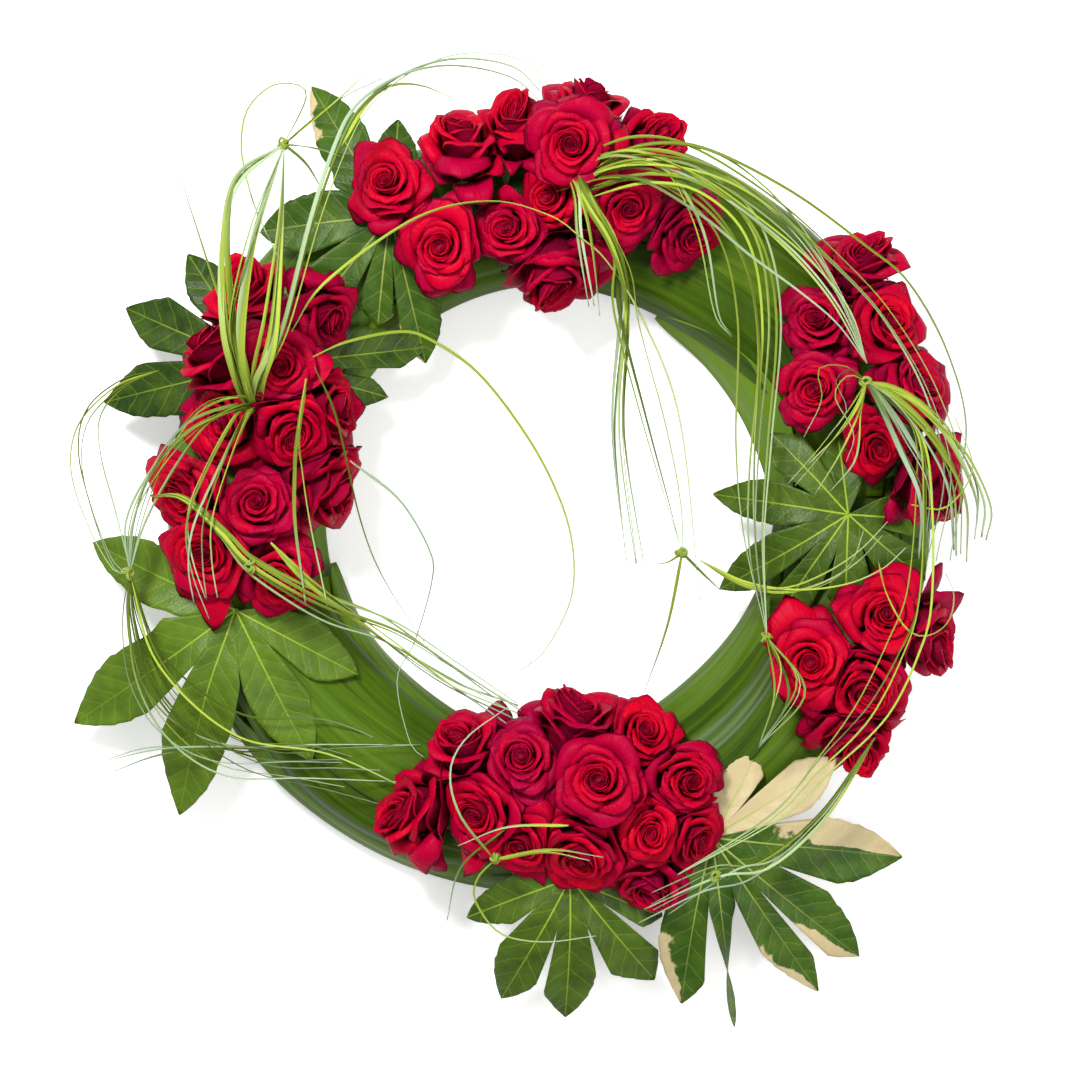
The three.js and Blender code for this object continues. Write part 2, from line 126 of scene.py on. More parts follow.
def vertices_of(obj: Obj) -> np.ndarray:
    """Reads a mesh object's vertices.

    Args:
        obj: The mesh object.

    Returns:
        Rows of x, y and z.
    """
    points = np.empty(len(obj.data.vertices) * 3, np.float32)
    obj.data.vertices.foreach_get("co", points)
    return points.reshape(-1, 3).astype(float)


def set_vertices(obj: Obj, points: np.ndarray) -> None:
    """Moves a mesh object's vertices to these rows of x, y and z."""
    obj.data.vertices.foreach_set("co", np.ascontiguousarray(points, np.float32).ravel())
    obj.data.update()


def shaped_grid(name: str, across: int, along: int, surface: Surface, tone: float = 0.5) -> Obj:
    """Adds a grid and bends it over a surface.

    Args:
        name: The new object's name.
        across: Faces from u = -1 to u = 1.
        along: Faces from v = 0 to v = 1.
        surface: Gives a row of x, y and z for each u and v. Three further columns, where it gives them, are
            the UV map's own two values and how near the point is to the margin.
        tone: Kept on every vertex for the finish to vary its colour by.

    Returns:
        The grid, with a UV map.
    """
    deselect_all()
    bpy.ops.mesh.primitive_grid_add(x_subdivisions=across, y_subdivisions=along, size=2)
    grid = bpy.context.object
    grid.name = name
    flat = vertices_of(grid)
    rows = surface(flat[:, 0], (flat[:, 1] + 1) / 2)
    set_vertices(grid, rows[:, :3])
    keep_value(grid, "tone", np.full(len(flat), tone))
    if rows.shape[1] > 3:
        keep_value(grid, "margin", rows[:, 5])
        corners = np.empty(len(grid.data.loops), np.int32)
        grid.data.loops.foreach_get("vertex_index", corners)
        grid.data.uv_layers[0].data.foreach_set(
            "uv", np.ascontiguousarray(rows[corners, 3:5], np.float32).ravel()
        )
    return grid


def keep_value(obj: Obj, name: str, values: np.ndarray) -> None:
    """Keeps one number on each vertex of a mesh object."""
    kept = obj.data.attributes.new(name, "FLOAT", "POINT")
    kept.data.foreach_set("value", np.ascontiguousarray(values, np.float32))


def give_thickness(obj: Obj, thickness: float, finishes: Sequence[bpy.types.Material]) -> None:
    """Makes a sheet a closed shell behind its face.

    Args:
        obj: The sheet.
        thickness: How thick the shell is, in the sheet's own unit.
        finishes: The finish of the face and, where the new side and the rim have another one, theirs.
    """
    for finish in finishes:
        obj.data.materials.append(finish)
    pick(obj)
    bpy.ops.object.shade_smooth()
    solid = obj.modifiers.new("thickness", "SOLIDIFY")
    solid.thickness = thickness
    solid.offset = -1
    solid.material_offset = len(finishes) - 1
    solid.material_offset_rim = len(finishes) - 1
    bpy.ops.object.modifier_apply(modifier=solid.name)


def joined(objects: Sequence[Obj], name: str) -> Obj:
    """Joins objects into the first one and names it.

    Args:
        objects: The objects to join.
        name: The whole's name.

    Returns:
        The whole.
    """
    pick(*objects)
    if len(objects) > 1:
        bpy.ops.object.join()
    whole = bpy.context.object
    whole.name = name
    whole.data.name = name
    return whole


def bar_between(start: np.ndarray, end: np.ndarray, radius: float, sides: int = 10) -> Obj:
    """Adds a round bar with its place in its mesh, narrower by a seventh at its end.

    Args:
        start: The middle of its first end.
        end: The middle of its other end.
        radius: Its radius at the start.
        sides: How many sides it has.

    Returns:
        The bar.
    """
    deselect_all()
    length = float(np.linalg.norm(end - start))
    bpy.ops.mesh.primitive_cone_add(vertices=sides, radius1=radius, radius2=radius * 0.86, depth=length)
    bar = bpy.context.object
    turn = Vector((0, 0, 1)).rotation_difference(Vector(unit(end - start))).to_matrix().to_4x4()
    bar.data.transform(Matrix.Translation(Vector((start + end) / 2)) @ turn)
    bpy.ops.object.shade_smooth()
    return bar


def bezier(share: np.ndarray, points: Sequence[float | np.ndarray]) -> np.ndarray:
    """Values along a cubic Bezier curve.

    Args:
        share: Shares of its way, from 0 to 1.
        points: Its start, its two handles and its end.

    Returns:
        The curve's value at each share.
    """
    a, b, c, d = points
    rest = 1 - share
    return rest**3 * a + 3 * rest**2 * share * b + 3 * rest * share**2 * c + share**3 * d


def spline(points: np.ndarray, count: int) -> np.ndarray:
    """A smooth curve through points, as evenly spaced rows.

    Args:
        points: Rows that the curve passes through.
        count: Rows to give back.

    Returns:
        Rows along a Catmull-Rom curve, spaced evenly by length.
    """
    padded = np.vstack([2 * points[0] - points[1], points, 2 * points[-1] - points[-2]])
    rows = []
    for before, start, end, after in zip(padded, padded[1:], padded[2:], padded[3:]):
        t = np.linspace(0, 1, 12, endpoint=False)[:, None]
        curve = 2 * start + (end - before) * t + (2 * before - 5 * start + 4 * end - after) * t**2
        rows.append(0.5 * (curve + (3 * start - before - 3 * end + after) * t**3))
    fine = np.vstack([*rows, points[-1:]])
    travelled = np.concatenate([[0], np.cumsum(np.linalg.norm(np.diff(fine, axis=0), axis=1))])
    wanted = np.linspace(0, travelled[-1], count)
    return np.column_stack([np.interp(wanted, travelled, fine[:, axis]) for axis in range(3)])


# ---- Finishes ----


def add_node(
    tree: bpy.types.NodeTree, kind: str, inputs: dict[str | int, object] | None = None, **settings: object
) -> bpy.types.Node:
    """Adds a node with its settings, values and links.

    Args:
        tree: The node tree.
        kind: The node's type name, without the ShaderNode that it starts with.
        inputs: For each input, by name or number, a value, a socket to link from, or a node whose first
            output is linked.
        settings: The node's own properties.

    Returns:
        The new node.
    """
    node = tree.nodes.new("ShaderNode" + kind)
    for name, value in settings.items():
        setattr(node, name, value)
    for name, value in (inputs or {}).items():
        source = value.outputs[0] if isinstance(value, bpy.types.Node) else value
        if isinstance(source, Socket):
            tree.links.new(source, node.inputs[name])
        else:
            node.inputs[name].default_value = source
    return node


def new_material(name: str, values: dict[str, object]) -> tuple[bpy.types.Material, bpy.types.Node]:
    """A material whose shader has these uniform values.

    Args:
        name: What the real material is.
        values: Values for the shader's own sockets.

    Returns:
        The material and its shader node.
    """
    material = bpy.data.materials.new(name)
    material.use_nodes = True
    shader = material.node_tree.nodes["Principled BSDF"]
    for socket, value in values.items():
        shader.inputs[socket].default_value = value
    return material, shader


@dataclass(frozen=True)
class Finish:
    """What a surface is: the shader's uniform values, a colour and a relief."""

    name: str

    def values(self) -> dict[str, object]:
        """Values for the shader's own sockets."""
        return {}

    def pattern(self, node: NodeMaker) -> Look:
        """Adds the nodes of the colour and the relief.

        Args:
            node: Adds a node to the material.

        Returns:
            The colour, the relief's height, its strength and its depth in millimetres.
        """
        raise NotImplementedError

    def make(self) -> bpy.types.Material:
        """Builds the material.

        Returns:
            The material, with its colour and relief.
        """
        material, shader = new_material(self.name, self.values())
        tree = material.node_tree
        colour, height, strength, depth = self.pattern(partial(add_node, tree))
        relief = add_node(tree, "Bump", {"Strength": strength, "Distance": mm(depth), "Height": height})
        tree.links.new(colour, shader.inputs["Base Color"])
        tree.links.new(relief.outputs["Normal"], shader.inputs["Normal"])
        return material


@dataclass(frozen=True)
class PetalFinish(Finish):
    """Rose petal: living tissue whose tiny cone-shaped cells scatter light, which gives velvet, not gloss."""

    foot: str
    body: str
    bright: str
    rim: str
    sheen: float

    def values(self) -> dict[str, object]:
        """Values for the shader's own sockets."""
        return {
            "Roughness": 0.42, "IOR": 1.42, "Specular IOR Level": 0.055, "Sheen Weight": self.sheen,
            "Sheen Roughness": 0.35, "Sheen Tint": linear("FF2846"),
        }

    def pattern(self, node: NodeMaker) -> Look:
        """A petal darkens towards its foot in painted shade, differs from its neighbours and has a rim and
        fine creases.

        Args:
            node: Adds a node to the material.

        Returns:
            The colour, the relief's height, its strength and its depth in millimetres.
        """
        place = node("UVMap")
        up = node("SeparateXYZ", {"Vector": place}).outputs["Y"]
        tone = node("Attribute", attribute_name="tone").outputs["Fac"]
        # Patches of tone are about 14 mm across.
        cloud = node("TexNoise", {"Vector": node("TexCoord").outputs["Object"], "Scale": 70.0})
        own = node("Math", {0: cloud, 1: 0.5, 2: tone}, operation="MULTIPLY_ADD")
        shade = node("MapRange", {"Value": own, "From Min": 0.2, "From Max": 1.25})
        body = node("Mix", {0: shade, 6: linear(self.body), 7: linear(self.bright)}, data_type="RGBA")
        # Painted shade: the colour darkens to the foot colour low on the petal, deep in the bloom where little
        # light reaches.
        foot = node(
            "MapRange", {"Value": up, "From Min": 0.2, "From Max": 0.6}, interpolation_type="SMOOTHSTEP"
        )
        whole = node("Mix", {0: foot, 6: linear(self.foot), 7: body.outputs[2]}, data_type="RGBA")
        edge = node("MapRange", {"Value": up, "From Min": 0.945, "From Max": 0.985, "To Max": 0.9})
        rimmed = node("Mix", {0: edge, 6: whole.outputs[2], 7: linear(self.rim)}, data_type="RGBA")
        # Fine creases fan up a petal about 3 mm apart.
        stretched = node("Mapping", {"Vector": place, "Scale": (13.0, 2.4, 1.0)})
        creases = node("TexNoise", {"Vector": stretched, "Scale": 1.0, "Detail": 4.0})
        return rimmed.outputs[2], creases.outputs["Fac"], 0.7, 2.0


@dataclass(frozen=True)
class LeafFinish(Finish):
    """Palmate leaf blade: waxed skin over green tissue, which gives a soft gloss and paler ribs and veins."""

    dark: str
    light: str
    rib: str
    roughness: float
    cream: bool = False

    def values(self) -> dict[str, object]:
        """Values for the shader's own sockets."""
        return {"Roughness": self.roughness, "IOR": 1.45, "Specular IOR Level": 0.22}

    def pattern(self, node: NodeMaker) -> Look:
        """A lobe has a midrib, side veins that sweep towards its tip and, where asked, cream margins.

        The UV map holds decimetres across and along the lobe.

        Args:
            node: Adds a node to the material.

        Returns:
            The colour, the relief's height, its strength and its depth in millimetres.
        """
        place = node("UVMap")
        split = node("SeparateXYZ", {"Vector": place})
        along = split.outputs["Y"]
        off_rib = node("Math", {0: split}, operation="ABSOLUTE")
        wander = node("TexNoise", {"Vector": place, "Scale": 7.0, "Detail": 2.0})
        # Side veins 15 mm apart leave the midrib at about 50 degrees and wander a little.
        slant = node("Math", {0: off_rib, 1: -0.85, 2: along}, operation="MULTIPLY_ADD")
        drift = node("Math", {0: wander, 1: 0.06, 2: slant}, operation="MULTIPLY_ADD")
        spaced = node("Math", {0: drift, 1: 1 / 0.15}, operation="MULTIPLY")
        cycle = node("Math", {0: spaced, 1: 0.5}, operation="PINGPONG")
        side_vein = node(
            "MapRange", {"Value": cycle, "From Min": 0.05, "From Max": 0.0, "To Max": 0.22},
            interpolation_type="SMOOTHSTEP",
        )
        # The midrib thins and pales from 1.8 mm wide at the hub to half that 150 mm out.
        fade = node(
            "MapRange", {"Value": along, "From Min": 0.1, "From Max": 1.1, "To Min": 0.85, "To Max": 0.3}
        )
        thinner = node("Math", {0: along, 1: 0.0035, 2: off_rib}, operation="MULTIPLY_ADD")
        midrib = node(
            "MapRange", {"Value": thinner, "From Min": 0.0105, "From Max": 0.005, "To Max": fade},
            interpolation_type="SMOOTHSTEP",
        )
        vein = node("Math", {0: side_vein, 1: midrib}, operation="MAXIMUM")
        # Blotches are about 23 mm across, with finer ones inside them.
        spread = node("TexCoord").outputs["Object"]
        cloud = node("TexNoise", {"Vector": spread, "Scale": 44.0, "Detail": 6.0, "Roughness": 0.6})
        tone = node("Attribute", attribute_name="tone").outputs["Fac"]
        lit = node("Math", {0: cloud, 1: 0.0 if self.cream else tone}, operation="ADD")
        blotch = node("MapRange", {"Value": lit, "From Min": 0.35, "From Max": 1.2})
        blade = node("Mix", {0: blotch, 6: linear(self.dark), 7: linear(self.light)}, data_type="RGBA")
        colour = blade.outputs[2]
        if self.cream:
            colour = self.creamed(node, colour, tone, cloud)
        veined = node("Mix", {0: vein, 6: colour, 7: linear(self.rib)}, data_type="RGBA")
        # The net of smallest veins has cells about 3 mm across.
        net = node("TexVoronoi", {"Vector": spread, "Scale": 1 / mm(3.2)}, feature="DISTANCE_TO_EDGE")
        puckered = node("Math", {0: net, 1: 0.6, 2: cloud}, operation="MULTIPLY_ADD")
        pillow = node("Math", {0: cycle, 1: 1.6, 2: puckered}, operation="MULTIPLY_ADD")
        height = node("Math", {0: midrib, 1: -0.8, 2: pillow}, operation="MULTIPLY_ADD")
        return veined.outputs[2], height.outputs[0], 0.55, 1.0

    @staticmethod
    def creamed(node: NodeMaker, colour: Socket, tone: Socket, cloud: bpy.types.Node) -> Socket:
        """Adds cream margins whose width follows the lobe's tone and wanders with the noise.

        Args:
            node: Adds a node to the material.
            colour: The green blade's colour.
            tone: How much of the lobe is cream, from 0 to 1.
            cloud: Noise that breaks up the border.

        Returns:
            The blade's colour with its cream.
        """
        margin = node("Attribute", attribute_name="margin").outputs["Fac"]
        wander = node("Math", {0: cloud, 1: 0.7, 2: margin}, operation="MULTIPLY_ADD")
        reach = node("Math", {0: tone, 1: 1.8, 2: wander}, operation="MULTIPLY_ADD")
        border = node(
            "MapRange", {"Value": reach, "From Min": 1.6, "From Max": 1.66}, interpolation_type="SMOOTHSTEP"
        )
        return node("Mix", {0: border, 6: colour, 7: linear("B4A47C")}, data_type="RGBA").outputs[2]


@dataclass(frozen=True)
class StripedBladeFinish(Finish):
    """Strap leaf or grass: fibres run its length, which gives two greens in stripes and streaked gloss."""

    dark: str
    light: str
    tip: str
    stripes: float
    roughness: float

    def values(self) -> dict[str, object]:
        """Values for the shader's own sockets."""
        return {"Roughness": self.roughness, "IOR": 1.38, "Specular IOR Level": 0.14}

    def pattern(self, node: NodeMaker) -> Look:
        """A blade has lengthwise stripes, a colour that drifts towards its tip and fine ribs.

        Args:
            node: Adds a node to the material.

        Returns:
            The colour, the relief's height, its strength and its depth in millimetres.
        """
        place = node("UVMap")
        tone = node("Attribute", attribute_name="tone").outputs["Fac"]
        stretched = node("Mapping", {"Vector": place, "Scale": (self.stripes, 1.6, 1.0)})
        fibre = node("TexNoise", {"Vector": stretched, "Scale": 1.0, "Detail": 5.0, "Roughness": 0.62})
        lean = node("Math", {0: tone, 1: 0.8, 2: fibre}, operation="MULTIPLY_ADD")
        share = node("MapRange", {"Value": lean, "From Min": 0.38, "From Max": 1.2})
        blade = node("Mix", {0: share, 6: linear(self.dark), 7: linear(self.light)}, data_type="RGBA")
        # Some blades carry a grey-green wax bloom well below their tip.
        up = node("SeparateXYZ", {"Vector": place}).outputs["Y"]
        bloom = node("Attribute", attribute_name="bloom").outputs["Fac"]
        waxed = node("Math", {0: up, 1: bloom}, operation="ADD")
        towards = node(
            "MapRange", {"Value": waxed, "From Min": 0.5, "From Max": 1.15, "To Max": 0.7},
            interpolation_type="SMOOTHSTEP",
        )
        drift = node("Mix", {0: towards, 6: blade.outputs[2], 7: linear(self.tip)}, data_type="RGBA")
        return drift.outputs[2], fibre.outputs["Fac"], 0.3, 0.4


@dataclass(frozen=True)
class GrainedFinish(Finish):
    """Foam, moulded plastic or a stem's skin: a grain of a size in millimetres mottles colour and relief."""

    dark: str
    light: str
    roughness: float
    grain: float
    depth: float

    def values(self) -> dict[str, object]:
        """Values for the shader's own sockets."""
        return {"Roughness": self.roughness, "IOR": 1.49}

    def pattern(self, node: NodeMaker) -> Look:
        """Colour and relief follow the grain.

        Args:
            node: Adds a node to the material.

        Returns:
            The colour, the relief's height, its strength and its depth in millimetres.
        """
        spread = node("TexCoord").outputs["Object"]
        cells = node("TexNoise", {"Vector": spread, "Scale": 1 / mm(self.grain), "Detail": 6.0})
        colour = node("Mix", {0: cells, 6: linear(self.dark), 7: linear(self.light)}, data_type="RGBA")
        return colour.outputs[2], cells.outputs["Fac"], 0.6, self.depth


class Finishes:
    """Every finish of the wreath, made once."""

    def __init__(self) -> None:
        """Builds the materials."""
        # Petals glow like velvet and are painted darker towards their feet, as shade deep in the bloom; their
        # backs are duller and bluer.
        self.petal_face = PetalFinish("rose_petal_face", "74001E", "920030", "B8001E", "58041C", 0.03).make()
        self.petal_back = PetalFinish("rose_petal_back", "580420", "820430", "A80A34", "6A1E34", 0.1).make()
        # Sepals and stems are green skin, slightly mottled and nearly matt.
        self.sepal = GrainedFinish("rose_sepal", "3B5A1E", "5F7F2E", 0.55, 2.5, 0.3).make()
        self.stem = GrainedFinish("rose_stem", "355A22", "4F7A30", 0.5, 3.0, 0.3).make()
        # Waxed leaf faces have a soft gloss; their backs are matt, paler and greyer.
        self.leaf = LeafFinish("palmate_leaf_face", "1A300A", "587418", "94AE2E", 0.42).make()
        self.leaf_back = LeafFinish("palmate_leaf_back", "46602C", "6E8640", "A0B268", 0.6).make()
        self.variegated = LeafFinish("variegated_leaf_face", "28460A", "5C7818", "9CA850", 0.42, True).make()
        self.variegated_back = LeafFinish(
            "variegated_leaf_back", "566C3C", "72864C", "B4B880", 0.6, True
        ).make()
        # Strap leaves are dark and smooth; bear grass is duller, and grey-green where it keeps its wax.
        self.strap = StripedBladeFinish("strap_leaf", "152C02", "60801A", "2E4C04", 10.0, 0.37).make()
        self.grass = StripedBladeFinish("bear_grass", "2C440A", "9CAE3E", "A8BEA4", 4.0, 0.45).make()
        # Soaked phenolic foam is dull with open cells; moulded polypropylene is satin with a fine grain.
        self.foam = GrainedFinish("floral_foam", "1F4630", "33684A", 0.95, 1.2, 0.6).make()
        self.tray = GrainedFinish("moulded_polypropylene", "17301F", "213F2A", 0.5, 0.6, 0.05).make()


# ---- Roses ----


class Opening(Enum):
    """How far a rose has opened."""

    OPEN = "open"
    HALF = "half"


@dataclass(frozen=True)
class PetalGrowth:
    """How petals change from a rose's heart to its outside, as pairs of inner and outer values.

    Lengths are shares of the bloom's radius, and angles are degrees. The wall is the upright part of a petal
    and the flare is the part above it that turns outwards.
    """

    petals: int = 27
    wall_radius: tuple[float, float] = (0.17, 0.72)
    top: tuple[float, float] = (1.22, 0.78)
    half_wrap: tuple[float, float] = (108.0, 47.0)
    flare_radius: tuple[float, float] = (0.03, 0.3)
    flare_turn: tuple[float, float] = (50.0, 96.0)
    spiral: tuple[float, float] = (0.2, 0.07)
    belly: tuple[float, float] = (1.15, 0.9)
    lip: float = 0.42
    guards: int = 6

    def at(self, pair: tuple[float, float], share: float, power: float = 1.0) -> float:
        """The value of a pair at a share of the way out."""
        return pair[0] + (pair[1] - pair[0]) * share**power


GROWTH = {
    Opening.OPEN: PetalGrowth(),
    Opening.HALF: PetalGrowth(
        petals=22, wall_radius=(0.16, 0.68), top=(1.34, 0.9), flare_radius=(0.03, 0.33),
        flare_turn=(48.0, 92.0), belly=(1.2, 0.95),
    ),
}
GOLDEN_ANGLE = math.radians(137.5)
SEPALS = 5
HEART_TURNS = 2.4
# Shares of the bloom's radius.
PETAL_THICKNESS = 0.011
HEART_TOP = 1.2
# The radius in millimetres that the sepals' size is set against.
USUAL_RADIUS = 32.0


@dataclass
class RoseHead:
    """One rose bloom about +Z, foot at the origin, with a radius of 1."""

    opening: Opening
    seed: int
    finishes: Finishes
    draw: np.random.Generator = field(init=False)
    openness: float = field(init=False)

    def __post_init__(self) -> None:
        """Starts the bloom's own random draws and settles how freely its petals flare."""
        self.draw = np.random.default_rng(self.seed)
        self.openness = float(np.clip(1 + 0.12 * self.draw.normal(), 0.85, 1.15))

    def fleshed(self, sheet: Obj) -> Obj:
        """A petal's sheet as a closed shell with its two finishes."""
        give_thickness(sheet, PETAL_THICKNESS, (self.finishes.petal_back, self.finishes.petal_face))
        return sheet

    def petal(self, index: int, share: float) -> Obj:
        """Models one petal: a cupped shield that wraps round the heart and flares outwards to a soft point.

        Args:
            index: Its number from the heart outwards.
            share: How far out it grows, from 0 to 1.

        Returns:
            The petal as a closed shell.
        """
        growth = GROWTH[self.opening]
        vary = self.draw.normal(0, 1, 10)
        azimuth = index * GOLDEN_ANGLE + 0.2 * vary[0]
        flare = growth.at(growth.flare_radius, share, 1.9) * (1 + 0.16 * vary[1]) * self.openness
        turn = math.radians(growth.at(growth.flare_turn, share, 0.8) * (1 + 0.16 * vary[2]))
        top = growth.at(growth.top, share, 2.2) + 0.03 * vary[3]
        wall = growth.at(growth.wall_radius, share, 1.05) * (1 + 0.045 * vary[4])
        belly = growth.at(growth.belly, share) * wall
        half_wrap = math.radians(growth.at(growth.half_wrap, share, 0.55))
        spiral = growth.at(growth.spiral, share, 0.7)
        pinch = 0.4 + 0.3 * self.draw.random()
        phases = 2 * math.pi * self.draw.random(3)
        slope = 0.25 * share
        loose = share**0.6

        def surface(u: np.ndarray, v: np.ndarray) -> np.ndarray:
            """The petal's sheet.

            Args:
                u: Across, from -1 to 1.
                v: From foot to rim, 0 to 1.

            Returns:
                A row for each point.
            """
            side = np.abs(u)
            shoulder = 1 - 0.16 * side**2.5
            rise = np.clip(v / 0.45, 0, 1)
            out = np.clip((v - 0.45) / 0.55, 0, 1)
            bend = flare * (1 - pinch * side**1.3) * (1 + 0.3 * vary[7] * loose * u)
            swing = turn * (1 + 0.55 * side**1.8 + 0.16 * vary[8] * loose * u) * np.clip(out / 0.7, 0, 1)
            point = 1 - 0.75 * side**1.4 + 0.9 * loose * np.exp(-(((u - 0.12 * vary[9]) / 0.2) ** 2))
            lip = growth.lip * flare * np.clip((out - 0.7) / 0.3, 0, 1) * point
            reach = wall - flare * 0.1
            radius = bezier(rise, (0.04, belly * 0.95, belly * 1.02, reach))
            height = bezier(rise, (0.05 - 0.04 * share, 0.02, 0.62 * top, (top - flare) * shoulder))
            radius = radius + bend * (math.cos(slope) - np.cos(slope + swing)) + lip * np.sin(slope + swing)
            height = height + bend * (np.sin(slope + swing) - math.sin(slope)) + lip * np.cos(slope + swing)
            ripple = np.sin(2.4 * u + phases[0]) + 0.8 * np.sin(6.4 * u + phases[1])
            crease = np.exp(-(((u - 0.25 * vary[6]) / 0.16) ** 2)) * out**2
            radius = radius * (1 + spiral * u) + loose * (0.028 * ripple * v**3 - 0.02 * crease)
            height = height + loose * (0.04 * np.sin(3.4 * u + phases[2]) * out - 0.045 * crease)
            wrap = half_wrap * (0.35 + 0.65 * smooth_step(v, 0.0, 0.42)) * (1 - 0.14 * share * out**2)
            angle = azimuth + u * wrap
            return np.column_stack([radius * np.cos(angle), radius * np.sin(angle), height])

        cells = 6 if share < 0.3 else 8 if share < 0.62 else 11
        tone = float(np.clip(0.72 - 0.42 * share**2.2 + 0.14 * vary[5], 0, 1))
        sheet = shaped_grid("petal", cells, cells + 1, surface, tone)
        return self.fleshed(sheet)

    def guard(self, index: int) -> Obj:
        """Models one of the outermost petals, fallen away from the cup and creased.

        Args:
            index: Its number round the bloom.

        Returns:
            The petal as a closed shell.
        """
        vary = self.draw.normal(0, 1, 7)
        azimuth = 2 * math.pi * (index + 0.22 * vary[0]) / GROWTH[self.opening].guards
        reach = 1.24 * (1 + 0.06 * vary[1])
        crest = 0.56 + 0.08 * vary[2]
        half_wrap = math.radians(38 + 4 * vary[3])
        roll = 0.16 + 0.08 * vary[4]
        phases = 2 * math.pi * self.draw.random(3)

        def surface(u: np.ndarray, v: np.ndarray) -> np.ndarray:
            """The petal's sheet.

            Args:
                u: Across, from -1 to 1.
                v: From foot to tip, 0 to 1.

            Returns:
                A row for each point.
            """
            side = np.abs(u)
            up = v * (1 - 0.2 * side**2.4)
            radius = bezier(up, (0.04, 0.66, 0.88, reach))
            height = bezier(up, (0.0, 0.04, crest + 0.3, crest - 0.22))
            crease = np.exp(-(((u - 0.3 * vary[5]) / 0.14) ** 2)) * v**2
            fold = roll * side**2.2 * smooth_step(v, 0.45, 1.0)
            height = height - fold + 0.05 * np.sin(4.2 * u + phases[0]) * v**2 - 0.05 * crease
            radius = radius + 0.03 * np.sin(5.5 * u + phases[1]) * v**3
            wrap = half_wrap * (0.3 + 0.7 * smooth_step(v, 0.0, 0.45)) * (1 - 0.36 * smooth_step(v, 0.6, 1.0))
            angle = azimuth + u * wrap
            return np.column_stack([radius * np.cos(angle), radius * np.sin(angle), height])

        tone = float(np.clip(0.12 + 0.14 * vary[6], 0, 1))
        sheet = shaped_grid("guard_petal", 9, 8, surface, tone)
        return self.fleshed(sheet)

    def heart(self) -> Obj:
        """Models the tight scroll at the middle of the bloom.

        Returns:
            The scroll as a closed shell.
        """
        start = 2 * math.pi * self.draw.random()

        def surface(u: np.ndarray, v: np.ndarray) -> np.ndarray:
            """The scroll's sheet.

            Args:
                u: Round it from the middle outwards, -1 to 1.
                v: Up it, 0 to 1.

            Returns:
                A row for each point.
            """
            out = (u + 1) / 2
            angle = start + out * HEART_TURNS * 2 * math.pi
            radius = (0.02 + 0.15 * out) * (0.8 + 0.2 * v) + 0.02 * smooth_step(v, 0.8, 1.0)
            top = HEART_TOP - 0.03 * out + 0.012 * np.sin(2.3 * angle)
            return np.column_stack([radius * np.cos(angle), radius * np.sin(angle), 0.6 + (top - 0.6) * v])

        scroll = shaped_grid("heart", 52, 4, surface, 0.45)
        return self.fleshed(scroll)

    def core(self) -> Obj:
        """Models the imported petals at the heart, which show only as the floor of the gaps round them.

        Returns:
            A closed core that fills the heart.
        """
        deselect_all()
        bpy.ops.mesh.primitive_uv_sphere_add(segments=20, ring_count=10, radius=1)
        core = bpy.context.object
        middle = HEART_TOP - 0.53
        set_vertices(core, vertices_of(core) * (0.3, 0.3, 0.42) + (0, 0, middle))
        keep_value(core, "tone", np.full(len(core.data.vertices), 0.3))
        core.data.materials.append(self.finishes.petal_back)
        bpy.ops.object.shade_smooth()
        return core

    def calyx(self, radius: float) -> Obj:
        """Models the green cup and its five sepals, folded back.

        Args:
            radius: The bloom's real radius in metres, which the sepals' size is set against.

        Returns:
            The calyx in shares of the bloom's radius.
        """
        deselect_all()
        bpy.ops.mesh.primitive_uv_sphere_add(segments=14, ring_count=8, radius=mm(5.6) / radius)
        cup = bpy.context.object
        set_vertices(cup, vertices_of(cup) * (1, 1, 1.25) - (0, 0, mm(1.5) / radius))
        bpy.ops.object.shade_smooth()
        cup.data.materials.append(self.finishes.sepal)
        length, width = mm(24) / radius, mm(3.6) / radius
        parts = [cup]
        for k in range(SEPALS):
            azimuth = 2 * math.pi * k / SEPALS + 0.2 * self.draw.normal()
            droop = 0.5 + 0.25 * self.draw.random()

            def surface(u: np.ndarray, v: np.ndarray) -> np.ndarray:
                """A sepal's sheet.

                Args:
                    u: Across, from -1 to 1.
                    v: From its foot to its long tip, 0 to 1.

                Returns:
                    A row for each point.
                """
                out = 0.1 + length * v * (1 - 0.35 * v)
                side = u * width * np.sin(math.pi * np.clip(0.12 + 0.86 * v, 0, 1)) ** 0.8
                drop = 0.03 - droop * length * v**1.6 + 0.25 * np.abs(side)
                return np.column_stack(
                    [
                        out * math.cos(azimuth) - side * math.sin(azimuth),
                        out * math.sin(azimuth) + side * math.cos(azimuth), drop,
                    ]
                )

            sepal = shaped_grid("sepal", 4, 8, surface)
            give_thickness(sepal, mm(0.7) / radius, (self.finishes.sepal,))
            parts.append(sepal)
        return joined(parts, "calyx")

    def build(self) -> Obj:
        """Models the whole head.

        Returns:
            Heart, petals and calyx as one object of radius 1.
        """
        growth = GROWTH[self.opening]
        parts = [self.heart(), self.core()]
        parts += [self.petal(i, i / (growth.petals - 1)) for i in range(growth.petals)]
        parts += [self.guard(i) for i in range(growth.guards)]
        parts.append(self.calyx(mm(USUAL_RADIUS)))
        return joined(parts, f"rose_{self.opening.value}_{self.seed}")


# Corners of a packed stem's cut end lie within this many millimetres of one another.
STEM_SPAN = 6.5


